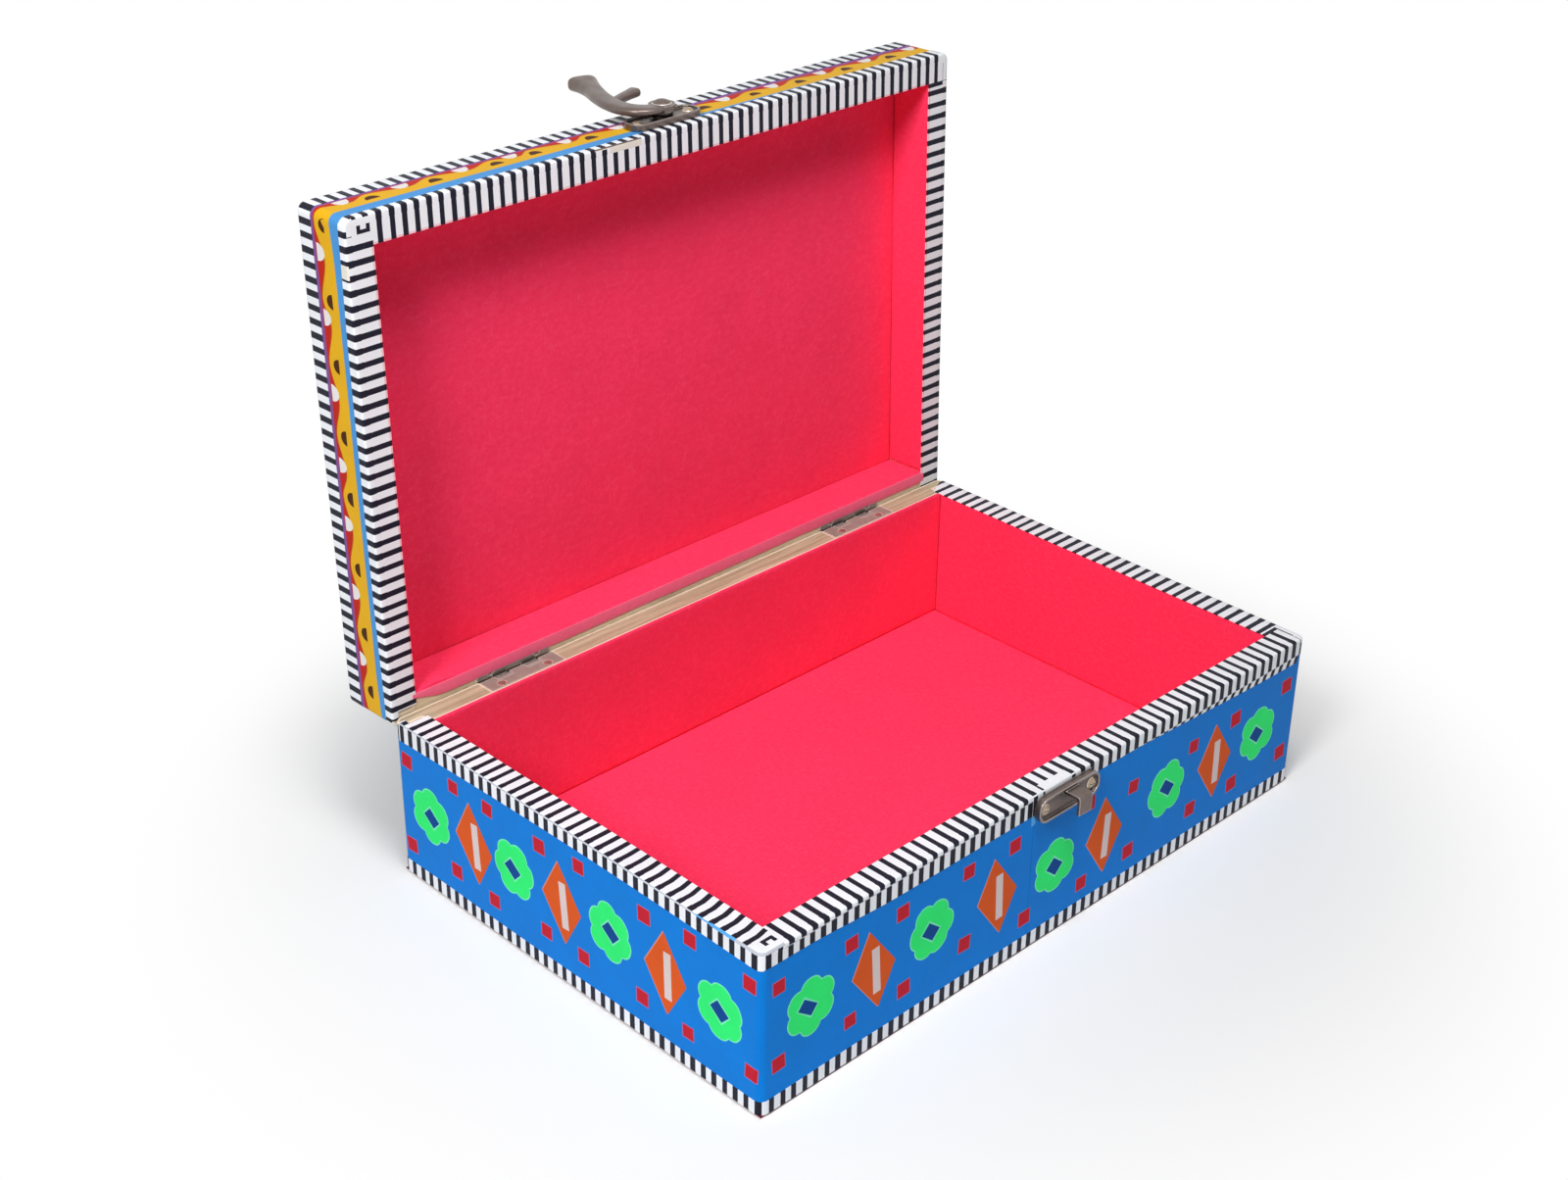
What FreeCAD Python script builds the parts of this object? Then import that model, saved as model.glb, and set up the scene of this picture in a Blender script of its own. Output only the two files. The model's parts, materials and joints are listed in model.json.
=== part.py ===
import FreeCAD, Part
import math
import os
import re

# Lidded wooden keepsake box with printed sheets, striped edge tapes, a red felt lining,
# two stop hinges and a swinging horn latch. Millimetres, +Z up, front towards -Y,
# origin in the middle of the underside. The lid is shown open on the stops of its hinges.

V = FreeCAD.Vector
X_AXIS = V(1, 0, 0)
Y_AXIS = V(0, 1, 0)
Z_AXIS = V(0, 0, 1)
NEAR = 0.01

SIZES = {
    # wooden shell
    "box_length": 253.4,
    "box_depth": 166.7,
    "base_height": 56.2,
    "lid_height": 22.8,
    "wall": 8.0,
    "rabbet": 4.0,
    "bottom_board": 5.0,
    "top_board": 5.0,
    "board_seat": 3.0,
    "corner_radius": 2.5,
    "least_land": 0.4,
    # felt and printed skins
    "felt_foot": 0.8,
    "lining": 1.2,
    "skin": 0.3,
    "rim_tape_drop": 5.2,
    "foot_tape_rise": 4.8,
    "lid_tape_rise": 3.8,
    "top_tape_drop": 5.0,
    "top_tape_width": 9.0,
    "front_seam": -13.0,
    "back_seam": 12.0,
    # closing gap and lid stop
    "lid_gap": 0.2,
    "lid_open": 91.5,
    # butt hinges let into the back edge, with a ledge that stops the lid
    "hinge_spacing": 157.0,
    "hinge_length": 30.0,
    "leaf_reach": 7.4,
    "leaf_gap": 0.3,
    "mortise": 0.65,
    "knuckle_radius": 1.6,
    "knuckle_gap": 0.1,
    "knuckle_clear": 0.3,
    "pin_radius": 0.75,
    "pin_play": 0.06,
    "pin_inset": 1.6,
    "stop_reach": 1.1,
    "stop_lip": 1.0,
    "stop_gap": 0.12,
    "rear_tape_drop": 0.6,
    "hinge_screw_spacing": 19.0,
    "hinge_screw_head": 1.6,
    "hinge_screw_shank": 0.9,
    "hinge_screw_bite": 7.0,
    # latch on the lid, strike on the base
    "latch_offset": 1.0,
    "pivot_offset": 1.5,
    "pivot_rise": 9.0,
    "plate_length": 28.5,
    "plate_height": 9.0,
    "plate_rise": 8.3,
    "plate_thickness": 2.4,
    "plate_corner": 3.8,
    "plate_rim": 0.9,
    "plate_recess": 0.9,
    "plate_screw_spacing": 21.8,
    "strike_height": 8.6,
    "strike_drop": 6.0,
    "nose_width": 6.0,
    "nose_reach": 8.0,
    "nose_plate": 1.2,
    "nose_height": 6.6,
    "nose_drop": 2.7,
    "nose_round": 1.0,
    "dome_radius": 2.0,
    "dome_height": 0.9,
    "screw_shank": 1.1,
    "screw_end_gap": 2.0,
    "slot_width": 0.5,
    "slot_depth": 0.4,
    "lever_lift": 3.6,
    "lever_thickness": 2.2,
    "lever_reach": 40.0,
    "hub_radius": 4.4,
    "arm_width": 7.0,
    "bell_width": 9.0,
    "finger_width": 3.2,
    "finger_root": 9.6,
    "finger_tip": 5.2,
    "finger_tilt": 12.0,
    "boss_radius": 3.6,
    "rivet_shank": 1.6,
    "rivet_head": 3.3,
    "rivet_dome": 1.3,
    "rivet_tail": 2.4,
    "rivet_tail_depth": 0.8,
    "swing_play": 0.08,
    # workshop allowances
    "fit": 0.04,
    "tape_clear": 0.15,
    "overcut": 1.0,
}

# places and sizes that follow from the driving ones
FORMULAS = {
    "half_length": "box_length / 2",
    "half_depth": "box_depth / 2",
    "inner_x": "half_length - wall",
    "inner_y": "half_depth - wall",
    "lined_x": "inner_x - lining",
    "lined_y": "inner_y - lining",
    "edge_round": "min(corner_radius; wall - rabbet - least_land)",
    "rim": "felt_foot + base_height",
    "parting": "rim + skin + lid_gap / 2",
    "lid_rim": "rim + 2 * skin + lid_gap",
    "lid_top": "lid_rim + lid_height",
    "base_tape_low": "rim - rim_tape_drop",
    "lid_tape_high": "lid_rim + lid_tape_rise",
    "top_tape_low": "lid_top - top_tape_drop",
    "foot_tape_high": "felt_foot + foot_tape_rise",
    "base_floor": "felt_foot + bottom_board",
    "lid_ceiling": "lid_top - top_board",
    "front_face": "-(half_depth + skin)",
    "pin_y": "half_depth - pin_inset",
    "pin_z": "rim - pin_inset",
    "neck": "knuckle_radius / 2",
    "stop_top": "neck + stop_gap",
    "stop_low": "stop_top + stop_lip",
    "knuckle_inner": "pin_y - knuckle_radius - knuckle_clear",
    "knuckle_low": "pin_z - stop_low - knuckle_clear",
    "leaf_low": "rim - mortise",
    "leaf_high": "parting - leaf_gap / 2",
    "lid_leaf_low": "parting + leaf_gap / 2",
    "lid_leaf_high": "lid_rim + mortise",
    "leaf_thickness": "leaf_high - leaf_low",
    "leaf_inner": "half_depth - leaf_reach",
    "leaf_screw_y": "(leaf_inner + pin_y - knuckle_radius - knuckle_gap) / 2",
    "pivot_z": "parting + pivot_rise",
    "plate_z": "parting + plate_rise",
    "strike_z": "parting - strike_drop",
    "seat": "plate_thickness - plate_recess",
    "bite": "wall - screw_end_gap",
    "nose_top": "parting - nose_drop",
    "nose_low": "nose_top - nose_height",
    "finger_z": "nose_top - nose_plate - (nose_height - nose_plate) / 2",
    "finger_radius": "pivot_z - finger_z",
    "lever_top": "lever_lift + lever_thickness",
}

doc = FreeCAD.newDocument("keepsake_box")
sheet = doc.addObject("Spreadsheet::Sheet", "Sizes")
for row, (alias, size) in enumerate(SIZES.items(), 1):
    sheet.set("A%d" % row, alias)
    sheet.set("B%d" % row, str(size))
    sheet.setAlias("B%d" % row, alias)
doc.recompute()

pieces = {}


def expand(text):
    """Formula text with every named size pointed at its cell in the sheet."""
    def swap(match):
        word = match.group()
        if word in FORMULAS:
            return "(" + expand(FORMULAS[word]) + ")"
        return "Sizes." + word if word in SIZES else word
    return re.sub(r"[a-z_]+", swap, str(text))


def value(text):
    """Number that a formula comes to with the sheet's present sizes."""
    return float(sheet.evalExpression(expand(text)))


def span(side, near, far):
    """Low and high ends of a stretch on the + or - side of the middle."""
    return (near, far) if side > 0 else ("-(%s)" % far, "-(%s)" % near)


def about(middle, width):
    """Low and high ends of a stretch centred on a place."""
    return "(%s) - (%s) / 2" % (middle, width), "(%s) + (%s) / 2" % (middle, width)


def bind(item, **formulas):
    for name, text in formulas.items():
        item.setExpression(name, expand(text))
    return item


def bind_place(item, x, y, z):
    for name, text in zip("xyz", (x, y, z)):
        item.setExpression("Placement.Base." + name, expand(text))
    return item


def bind_size(item, x, y, z):
    for name, (low, high) in zip(("Length", "Width", "Height"), (x, y, z)):
        item.setExpression(name, expand("(%s) - (%s)" % (high, low)))
    return item


def bind_box(item, x, y, z):
    return bind_place(bind_size(item, x, y, z), x[0], y[0], z[0])


def box(name, x, y, z):
    return bind_box(doc.addObject("Part::Box", name), x, y, z)


def turned_box(name, frame, x, y, z):
    """Box along the axes of a turned frame."""
    item = bind_size(doc.addObject("Part::Box", name), x, y, z)
    corner = V(value(x[0]), value(y[0]), value(z[0]))
    item.Placement = frame.multiply(FreeCAD.Placement(corner, FreeCAD.Rotation()))
    return item


AXIS_TURN = {
    "x": FreeCAD.Rotation(Y_AXIS, 90),
    "out": FreeCAD.Rotation(X_AXIS, 90),
    "up": FreeCAD.Rotation(),
    "down": FreeCAD.Rotation(X_AXIS, 180),
}


def cylinder(name, axis, radius, length, x, y, z):
    item = doc.addObject("Part::Cylinder", name)
    item.Placement.Rotation = AXIS_TURN[axis]
    bind(item, Radius=radius, Height=length)
    return bind_place(item, x, y, z)


def cone(name, axis, start_radius, end_radius, length, x, y, z):
    item = doc.addObject("Part::Cone", name)
    item.Placement.Rotation = AXIS_TURN[axis]
    bind(item, Radius1=start_radius, Radius2=end_radius, Height=length)
    return bind_place(item, x, y, z)


def dome(name, radius, height, x, y, z):
    """Shallow cap of a ball that faces the front, its flat side at the given place."""
    ball = "((%s) ^ 2 + (%s) ^ 2) / (2 * (%s))" % (radius, height, height)
    sink = "(%s - (%s))" % (ball, height)
    item = doc.addObject("Part::Sphere", name)
    item.Placement.Rotation = AXIS_TURN["out"]
    bind(item, Radius=ball, Angle1="asin(%s / (%s))" % (sink, ball))
    return bind_place(item, x, "(%s) + %s" % (y, sink), z)


def cut(name, base, *tools):
    for number, tool in enumerate(tools):
        item = doc.addObject("Part::Cut", name if number == len(tools) - 1 else name + "_stage")
        item.Base = base
        item.Tool = tool
        base = item
    return base


def fuse(name, *shapes):
    item = doc.addObject("Part::MultiFuse", name)
    item.Shapes = list(shapes)
    return item


def group(name, members):
    item = doc.addObject("Part::Compound", name)
    item.Links = list(members)
    return item


def common(name, base, tool):
    item = doc.addObject("Part::Common", name)
    item.Base = base
    item.Tool = tool
    return item


def runs_along(axis):
    """Test for straight edges along one axis."""
    return lambda edge: abs(edge.tangentAt(edge.FirstParameter).dot(axis)) > 1 - NEAR


def lies_at(**places):
    """Test for edges whose middle is at given distances from the origin along some axes."""
    def test(edge):
        middle = edge.CenterOfMass
        return all(abs(abs(getattr(middle, axis)) - abs(place)) < NEAR for axis, place in places.items())
    return test


def rounded_block(name, x, y, z, radius, axis=Z_AXIS):
    """Block with its four edges along one axis rounded."""
    raw = box(name + "_raw", x, y, z)
    doc.recompute()
    item = doc.addObject("Part::Fillet", name)
    item.Base = raw
    size = value(radius)
    along = runs_along(axis)
    item.Edges = [(number, size, size) for number, edge in enumerate(raw.Shape.Edges, 1) if along(edge)]
    return item


def panel(label, x, y, z):
    """Board sawn to size: a body that starts as one block."""
    body = doc.addObject("PartDesign::Body", label)
    bind_box(body.newObject("PartDesign::AdditiveBox", label + "_stock"), x, y, z)
    return body


def notch(body, name, x, y, z):
    return bind_box(body.newObject("PartDesign::SubtractiveBox", name), x, y, z)


def drill(body, name, axis, radius, length, x, y, z):
    item = body.newObject("PartDesign::SubtractiveCylinder", name)
    item.Placement.Rotation = AXIS_TURN[axis]
    bind(item, Radius=radius, Height=length)
    return bind_place(item, x, y, z)


def round_edges(body, name, radius, chosen):
    doc.recompute()
    last = body.Tip
    edges = ["Edge%d" % number for number, edge in enumerate(last.Shape.Edges, 1) if chosen(edge)]
    item = body.newObject("PartDesign::Fillet", name)
    item.Base = (last, edges)
    return bind(item, Radius=radius)


def add(label, item):
    item.Label = label
    pieces[label] = item
    return item


SIDES = {"left": -1, "right": 1}
HINGES = {"left": "-hinge_spacing / 2", "right": "hinge_spacing / 2"}
PLATE_SCREWS = ("-plate_screw_spacing / 2", "plate_screw_spacing / 2")
LEAF_SCREWS = ("-hinge_screw_spacing / 2", "hinge_screw_spacing / 2")


# Wooden shell: long panels are rabbeted at their ends, and the boards sit in a step of the walls

def long_panel(label, side, z, board_z):
    body = panel(label, ("-half_length", "half_length"), span(side, "inner_y", "half_depth"), z)
    through = (z[0] + " - overcut", z[1] + " + overcut")
    for end in (-1, 1):
        notch(body, label + "_rabbet", span(end, "inner_x", "half_length + overcut"),
              span(side, "inner_y - overcut", "inner_y + rabbet"), through)
    notch(body, label + "_step", ("-(inner_x + board_seat)", "inner_x + board_seat"),
          span(side, "inner_y - overcut", "inner_y + board_seat"), board_z)
    upright = runs_along(Z_AXIS)
    at_corner = lies_at(x=value("half_length"), y=value("half_depth"))
    outside = lambda edge: edge.CenterOfMass.y * side > 0
    round_edges(body, label + "_corners", "edge_round",
                lambda edge: upright(edge) and at_corner(edge) and outside(edge))
    return add(label, body)


def side_panel(label, side, z, board_z):
    body = panel(label, span(side, "inner_x", "half_length"), ("-(inner_y + rabbet)", "inner_y + rabbet"), z)
    notch(body, label + "_step", span(side, "inner_x - overcut", "inner_x + board_seat"),
          ("-(inner_y + board_seat)", "inner_y + board_seat"), board_z)
    return add(label, body)


def board(label, z):
    reach_x = ("-(inner_x + board_seat)", "inner_x + board_seat")
    reach_y = ("-(inner_y + board_seat)", "inner_y + board_seat")
    return add(label, panel(label, reach_x, reach_y, z))


def shell_of(prefix, z, board_name, board_z, step_z):
    front = long_panel(prefix + "_front_panel", -1, z, step_z)
    back = long_panel(prefix + "_back_panel", 1, z, step_z)
    for name, side in SIDES.items():
        side_panel("%s_%s_panel" % (prefix, name), side, z, step_z)
    board(prefix + board_name, board_z)
    return front, back


base_front, base_back = shell_of("base", ("felt_foot", "rim"), "_bottom_board", ("felt_foot", "base_floor"),
                                 ("felt_foot - overcut", "base_floor"))
lid_front, lid_back = shell_of("lid", ("lid_rim", "lid_top"), "_top_board", ("lid_ceiling", "lid_top"),
                               ("lid_ceiling", "lid_top + overcut"))

# hinge mortises and pilot holes in the two back panels
for name, middle in HINGES.items():
    leaf_x = about(middle, "hinge_length")
    leaf_y = ("leaf_inner", "half_depth + overcut")
    notch(base_back, name + "_base_mortise", leaf_x, leaf_y, ("leaf_low", "rim + overcut"))
    notch(base_back, name + "_knuckle_gain", leaf_x, ("knuckle_inner", "half_depth + overcut"),
          ("knuckle_low", "rim + overcut"))
    notch(lid_back, name + "_lid_mortise", leaf_x, leaf_y, ("lid_rim - overcut", "lid_leaf_high"))
    for shift in LEAF_SCREWS:
        place = ("%s + %s" % (middle, shift), "leaf_screw_y")
        depth = "hinge_screw_bite + overcut"
        drill(base_back, name + "_base_pilot", "down", "hinge_screw_shank + fit", depth, *place, "rim")
        drill(lid_back, name + "_lid_pilot", "up", "hinge_screw_shank + fit", depth, *place, "lid_rim")

# pilot holes of the latch and strike in the two front panels
for shift in PLATE_SCREWS:
    place = ("latch_offset + %s" % shift, "front_face + skin + bite")
    for body, height in ((base_front, "strike_z"), (lid_front, "plate_z")):
        drill(body, "latch_pilot", "out", "screw_shank + fit", "bite + overcut", *place, height)


# Felt: one sheet per inner face, and one under the box

def linings(prefix, wall_z, face_z, face_name):
    wide_x = ("-inner_x", "inner_x")
    add(prefix + face_name, panel(prefix + face_name, wide_x, ("-inner_y", "inner_y"), face_z))
    for name, side in (("front", -1), ("back", 1)):
        label = "%s_%s_lining" % (prefix, name)
        add(label, panel(label, wide_x, span(side, "lined_y", "inner_y"), wall_z))
    for name, side in SIDES.items():
        label = "%s_%s_lining" % (prefix, name)
        add(label, panel(label, span(side, "lined_x", "inner_x"), ("-lined_y", "lined_y"), wall_z))


linings("base", ("base_floor + lining", "rim"), ("base_floor", "base_floor + lining"), "_floor_lining")
linings("lid", ("lid_rim", "lid_ceiling - lining"), ("lid_ceiling - lining", "lid_ceiling"), "_top_lining")
add("underside_felt", rounded_block("underside_felt", about("0", "box_length"), about("0", "box_depth"),
                                    ("0", "felt_foot"), "edge_round"))


# Printed sheets and striped tapes: thin skins bent round the shell

def wood_block(name, z):
    return rounded_block(name, about("0", "box_length"), about("0", "box_depth"), z, "edge_round")


def skin_block(name, z):
    x = about("0", "box_length + 2 * skin")
    y = about("0", "box_depth + 2 * skin")
    return rounded_block(name, x, y, z, "edge_round + skin")


def band(name, z):
    """Sheet wrapped once round the sides of the shell."""
    core = wood_block(name + "_core", (z[0] + " - overcut", z[1] + " + overcut"))
    return cut(name, skin_block(name + "_block", z), core)


def latch_holes(name, height):
    """Holes for the two screws of a plate, through the plate and the skin under it."""
    depth = "plate_thickness + skin + 2 * overcut"
    holes = [cylinder(name, "out", "screw_shank + fit", depth, "latch_offset + %s" % shift,
                      "front_face + skin + overcut", height) for shift in PLATE_SCREWS]
    return fuse(name + "_pair", *holes)


WIDE_X = ("-box_length", "box_length")
BACK_Y = ("half_depth - edge_round", "box_depth")


def rim_tape(prefix, z, wood_z, bare_z, rear_z, gain_z, screws_z):
    """Tape folded over the rim on three sides; the back gets a flat strip cut out at the hinges."""
    tall = (z[0] + " - overcut", z[1] + " + overcut")
    well = box(prefix + "_tape_well", ("-lined_x", "lined_x"), ("-lined_y", "lined_y"), tall)
    rear = box(prefix + "_tape_rear", WIDE_X, BACK_Y, tall)
    bare = box(prefix + "_tape_bare", WIDE_X, ("inner_y", "box_depth"), bare_z)
    core = wood_block(prefix + "_tape_core", wood_z)
    holes = latch_holes(prefix + "_tape_hole", screws_z)
    label = prefix + "_rim_tape"
    add(label, cut(label, skin_block(prefix + "_tape_block", z), core, well, rear, bare, holes))
    label = prefix + "_rear_tape"
    back_half = box(prefix + "_rear_half", WIDE_X, BACK_Y, tall)
    gains = [box(prefix + "_rear_gain", about(middle, "hinge_length + 2 * tape_clear"), BACK_Y, gain_z)
             for middle in HINGES.values()]
    strip = common(prefix + "_rear_strip", band(prefix + "_rear_band", rear_z), back_half)
    add(label, cut(label, strip, fuse(prefix + "_rear_gains", *gains)))


rim_tape("base", z=("base_tape_low", "rim + skin"), wood_z=("base_tape_low - overcut", "rim"),
         bare_z=("rim", "rim + skin + overcut"), rear_z=("base_tape_low", "rim - rear_tape_drop"),
         gain_z=("knuckle_low - tape_clear", "rim + overcut"), screws_z="strike_z")
rim_tape("lid", z=("lid_rim - skin", "lid_tape_high"), wood_z=("lid_rim", "lid_tape_high + overcut"),
         bare_z=("lid_rim - skin - overcut", "lid_rim"), rear_z=("lid_rim + rear_tape_drop", "lid_tape_high"),
         gain_z=("lid_rim - overcut", "lid_leaf_high + tape_clear"), screws_z="plate_z")

add("base_foot_tape", band("base_foot_tape", ("felt_foot", "foot_tape_high")))

# two printed sheets meet at a seam on the front and another on the back
sheet_z = ("foot_tape_high", "base_tape_low")
left_half = fuse("left_half", box("left_front", ("-box_length", "front_seam"), ("-box_depth", "0"), sheet_z),
                 box("left_back", ("-box_length", "back_seam"), ("0", "box_depth"), sheet_z))
drilled = cut("base_sheet", band("base_sheet_band", sheet_z), latch_holes("base_sheet_hole", "strike_z"))
add("base_left_sheet", common("base_left_sheet", drilled, left_half))
add("base_right_sheet", cut("base_right_sheet", drilled, left_half))

lid_band = band("lid_band", ("lid_tape_high", "top_tape_low"))
add("lid_side_band", cut("lid_side_band", lid_band, latch_holes("lid_band_hole", "plate_z")))
sheet_x = ("-(half_length - top_tape_width)", "half_length - top_tape_width")
sheet_y = ("-(half_depth - top_tape_width)", "half_depth - top_tape_width")
add("lid_top_sheet", panel("lid_top_sheet", sheet_x, sheet_y, ("lid_top", "lid_top + skin")))
top_block = skin_block("top_tape_block", ("top_tape_low", "lid_top + skin"))
top_core = wood_block("top_tape_core", ("top_tape_low - overcut", "lid_top"))
top_window = box("top_tape_window", sheet_x, sheet_y, ("lid_top - overcut", "lid_top + skin + overcut"))
add("lid_top_tape", cut("lid_top_tape", top_block, top_core, top_window))


# Hinges: five knuckles, three on the base leaf and two on the lid leaf; the necks of the lid leaf
# come to rest on a ledge of the base leaf

KNUCKLES = 5


def knuckle_span(middle, number):
    start = "%s - hinge_length / 2 + hinge_length * %d / %d" % (middle, number, KNUCKLES)
    return start, "%s + hinge_length / %d" % (start, KNUCKLES)


def hinge_leaf(label, middle, z, own, bore, screw_axis, screw_z, ledge=False):
    """Leaf let into the rim, with necks down to its knuckles round the pin."""
    leaf_x = about(middle, "hinge_length")
    neck_y = about("pin_y", "2 * neck")
    plate = box(label + "_plate", leaf_x, ("leaf_inner", neck_y[1]), z)
    pin_place = V(0, value("pin_y"), value("pin_z"))
    stop_frame = FreeCAD.Placement(pin_place, FreeCAD.Rotation(X_AXIS, 90 - value("lid_open")))
    ledge_z = ("-stop_low", "-stop_top")
    windows = []
    solids = []
    if ledge:
        solids.append(turned_box(label + "_ledge", stop_frame, leaf_x,
                                 ("knuckle_radius + knuckle_gap", "knuckle_radius + stop_reach"), ledge_z))
    for number in range(KNUCKLES):
        low, high = knuckle_span(middle, number)
        own_x = (low + " + knuckle_gap / 2", high + " - knuckle_gap / 2")
        if number not in own:
            windows.append(box(label + "_window", (low + " - knuckle_gap / 2", high + " + knuckle_gap / 2"),
                               ("pin_y - knuckle_radius - knuckle_gap", "pin_y + overcut"),
                               (z[0] + " - overcut", z[1] + " + overcut")))
            continue
        length = "hinge_length / %d - knuckle_gap" % KNUCKLES
        solids.append(cylinder(label + "_knuckle", "x", "knuckle_radius", length, own_x[0], "pin_y", "pin_z"))
        solids.append(box(label + "_neck", own_x, neck_y, ("pin_z", z[1])))
        if ledge:
            solids.append(turned_box(label + "_root", stop_frame, own_x,
                                     ("pin_radius + 2 * pin_play", "knuckle_radius + knuckle_gap"), ledge_z))
    windowed = cut(label + "_windowed", plate, fuse(label + "_windows", *windows))
    solid = fuse(label + "_solid", windowed, *solids)
    tools = [cylinder(label + "_bore", "x", bore, "hinge_length + 2 * overcut",
                      leaf_x[0] + " - overcut", "pin_y", "pin_z")]
    for shift in LEAF_SCREWS:
        tools.append(cone(label + "_sink", screw_axis, "hinge_screw_head + fit", "hinge_screw_shank + fit",
                          "leaf_thickness", "%s + %s" % (middle, shift), "leaf_screw_y", screw_z))
    return add(label, cut(label, solid, *tools))


def hinge_screws(label, axis, top):
    """Countersunk slotted screws, flush with the leaves of both hinges."""
    screws = []
    slot_y = about("leaf_screw_y", "2 * hinge_screw_head + overcut")
    slot_z = about(top, "2 * slot_depth")
    for middle in HINGES.values():
        for shift in LEAF_SCREWS:
            x = "%s + %s" % (middle, shift)
            head = cone(label + "_head", axis, "hinge_screw_head", "hinge_screw_shank", "leaf_thickness",
                        x, "leaf_screw_y", top)
            shank = cylinder(label + "_shank", axis, "hinge_screw_shank", "leaf_thickness + hinge_screw_bite",
                             x, "leaf_screw_y", top)
            slot = box(label + "_slot", about(x, "slot_width"), slot_y, slot_z)
            screws.append(cut(label + "_screw", fuse(label + "_blank", head, shank), slot))
    return add(label, group(label, screws))


for name, middle in HINGES.items():
    hinge_leaf("hinge_%s_base_leaf" % name, middle, ("leaf_low", "leaf_high"), (0, 2, 4),
               "pin_radius + pin_play / 2", "down", "leaf_high", ledge=True)
    hinge_leaf("hinge_%s_lid_leaf" % name, middle, ("lid_leaf_low", "lid_leaf_high"), (1, 3),
               "pin_radius + pin_play", "up", "lid_leaf_low")
    add("hinge_%s_pin" % name, cylinder("hinge_pin", "x", "pin_radius", "hinge_length",
                                        "%s - hinge_length / 2" % middle, "pin_y", "pin_z"))
hinge_screws("hinge_base_screws", "down", "leaf_high")
hinge_screws("hinge_lid_screws", "up", "lid_leaf_low")


# Latch: a dished plate with a boss on the lid, a dished strike with a bent nose on the base

def dished_plate(label, height, middle_z):
    """Cast plate with rounded ends and a raised border, and its two screw holes."""
    corner = "min(plate_corner; %s / 2 - least_land)" % height
    outline = rounded_block(label + "_outline", about("latch_offset", "plate_length"),
                            ("front_face - plate_thickness", "front_face"), about(middle_z, height),
                            corner, Y_AXIS)
    dish = rounded_block(label + "_dish", about("latch_offset", "plate_length - 2 * plate_rim"),
                         ("front_face - plate_thickness - overcut", "front_face - seat"),
                         about(middle_z, height + " - 2 * plate_rim"), corner + " - plate_rim", Y_AXIS)
    return cut(label, outline, dish, latch_holes(label + "_hole", middle_z))


def plate_screws(label, height):
    """Slotted dome-head screws that hold a plate to its panel."""
    screws = []
    for shift in PLATE_SCREWS:
        x = "latch_offset + %s" % shift
        under_head = "front_face - seat - fit"
        head = dome(label + "_head", "dome_radius", "dome_height", x, under_head, height)
        shank = cylinder(label + "_shank", "out", "screw_shank", "seat + fit + skin + bite",
                         x, "front_face + skin + bite", height)
        slot = box(label + "_slot", about(x, "2 * dome_radius + overcut"),
                   about(under_head + " - dome_height", "2 * slot_depth"), about(height, "slot_width"))
        screws.append(cut(label + "_screw", fuse(label + "_blank", head, shank), slot))
    return add(label, group(label, screws))


def on_pivot(name, radius, length, out="0"):
    """Round piece on the latch's pivot that starts at some distance out from the front face."""
    return cylinder(name, "out", radius, length, "pivot_offset", "front_face - (%s)" % out, "pivot_z")


def rivet_taper(name, play):
    return cone(name, "out", "rivet_tail + " + play, "rivet_shank + " + play, "rivet_tail_depth",
                "pivot_offset", "front_face", "pivot_z")


plate_body = dished_plate("latch_plate_body", "plate_height", "plate_z")
boss = on_pivot("latch_boss", "boss_radius", "lever_lift - fit")
rivet_hole = on_pivot("rivet_hole", "rivet_shank + fit", "lever_lift + 2 * overcut", "-overcut")
latch_blank = fuse("latch_plate_blank", plate_body, boss)
add("latch_plate", cut("latch_plate", latch_blank, rivet_hole, rivet_taper("rivet_sink", "fit")))
plate_screws("latch_screws", "plate_z")

rivet_shank = on_pivot("rivet_shank", "rivet_shank", "lever_top + fit")
rivet_head = dome("rivet_head", "rivet_head", "rivet_dome",
                  "pivot_offset", "front_face - lever_top - fit", "pivot_z")
add("latch_rivet", fuse("latch_rivet", rivet_taper("rivet_tail", "0"), rivet_shank, rivet_head))

strike_body = dished_plate("strike_body", "strike_height", "strike_z")
nose_x = about("pivot_offset", "nose_width")
nose_y = ("front_face - nose_reach", "front_face - seat")
nose_body = panel("strike_nose", nose_x, nose_y, ("nose_low", "nose_top"))
notch(nose_body, "nose_channel", (nose_x[0] + " - overcut", nose_x[1] + " + overcut"),
      (nose_y[0] + " + nose_plate", "front_face"), ("nose_low - overcut", "nose_top - nose_plate"))
round_edges(nose_body, "nose_bend", "nose_round", lies_at(y=value(nose_y[0]), z=value("nose_top")))
add("strike_plate", fuse("strike_plate", strike_body, nose_body))
plate_screws("strike_screws", "strike_z")


# Lever: hub, horn-shaped arm that ends in a bell, and the finger that hooks behind the nose

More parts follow.
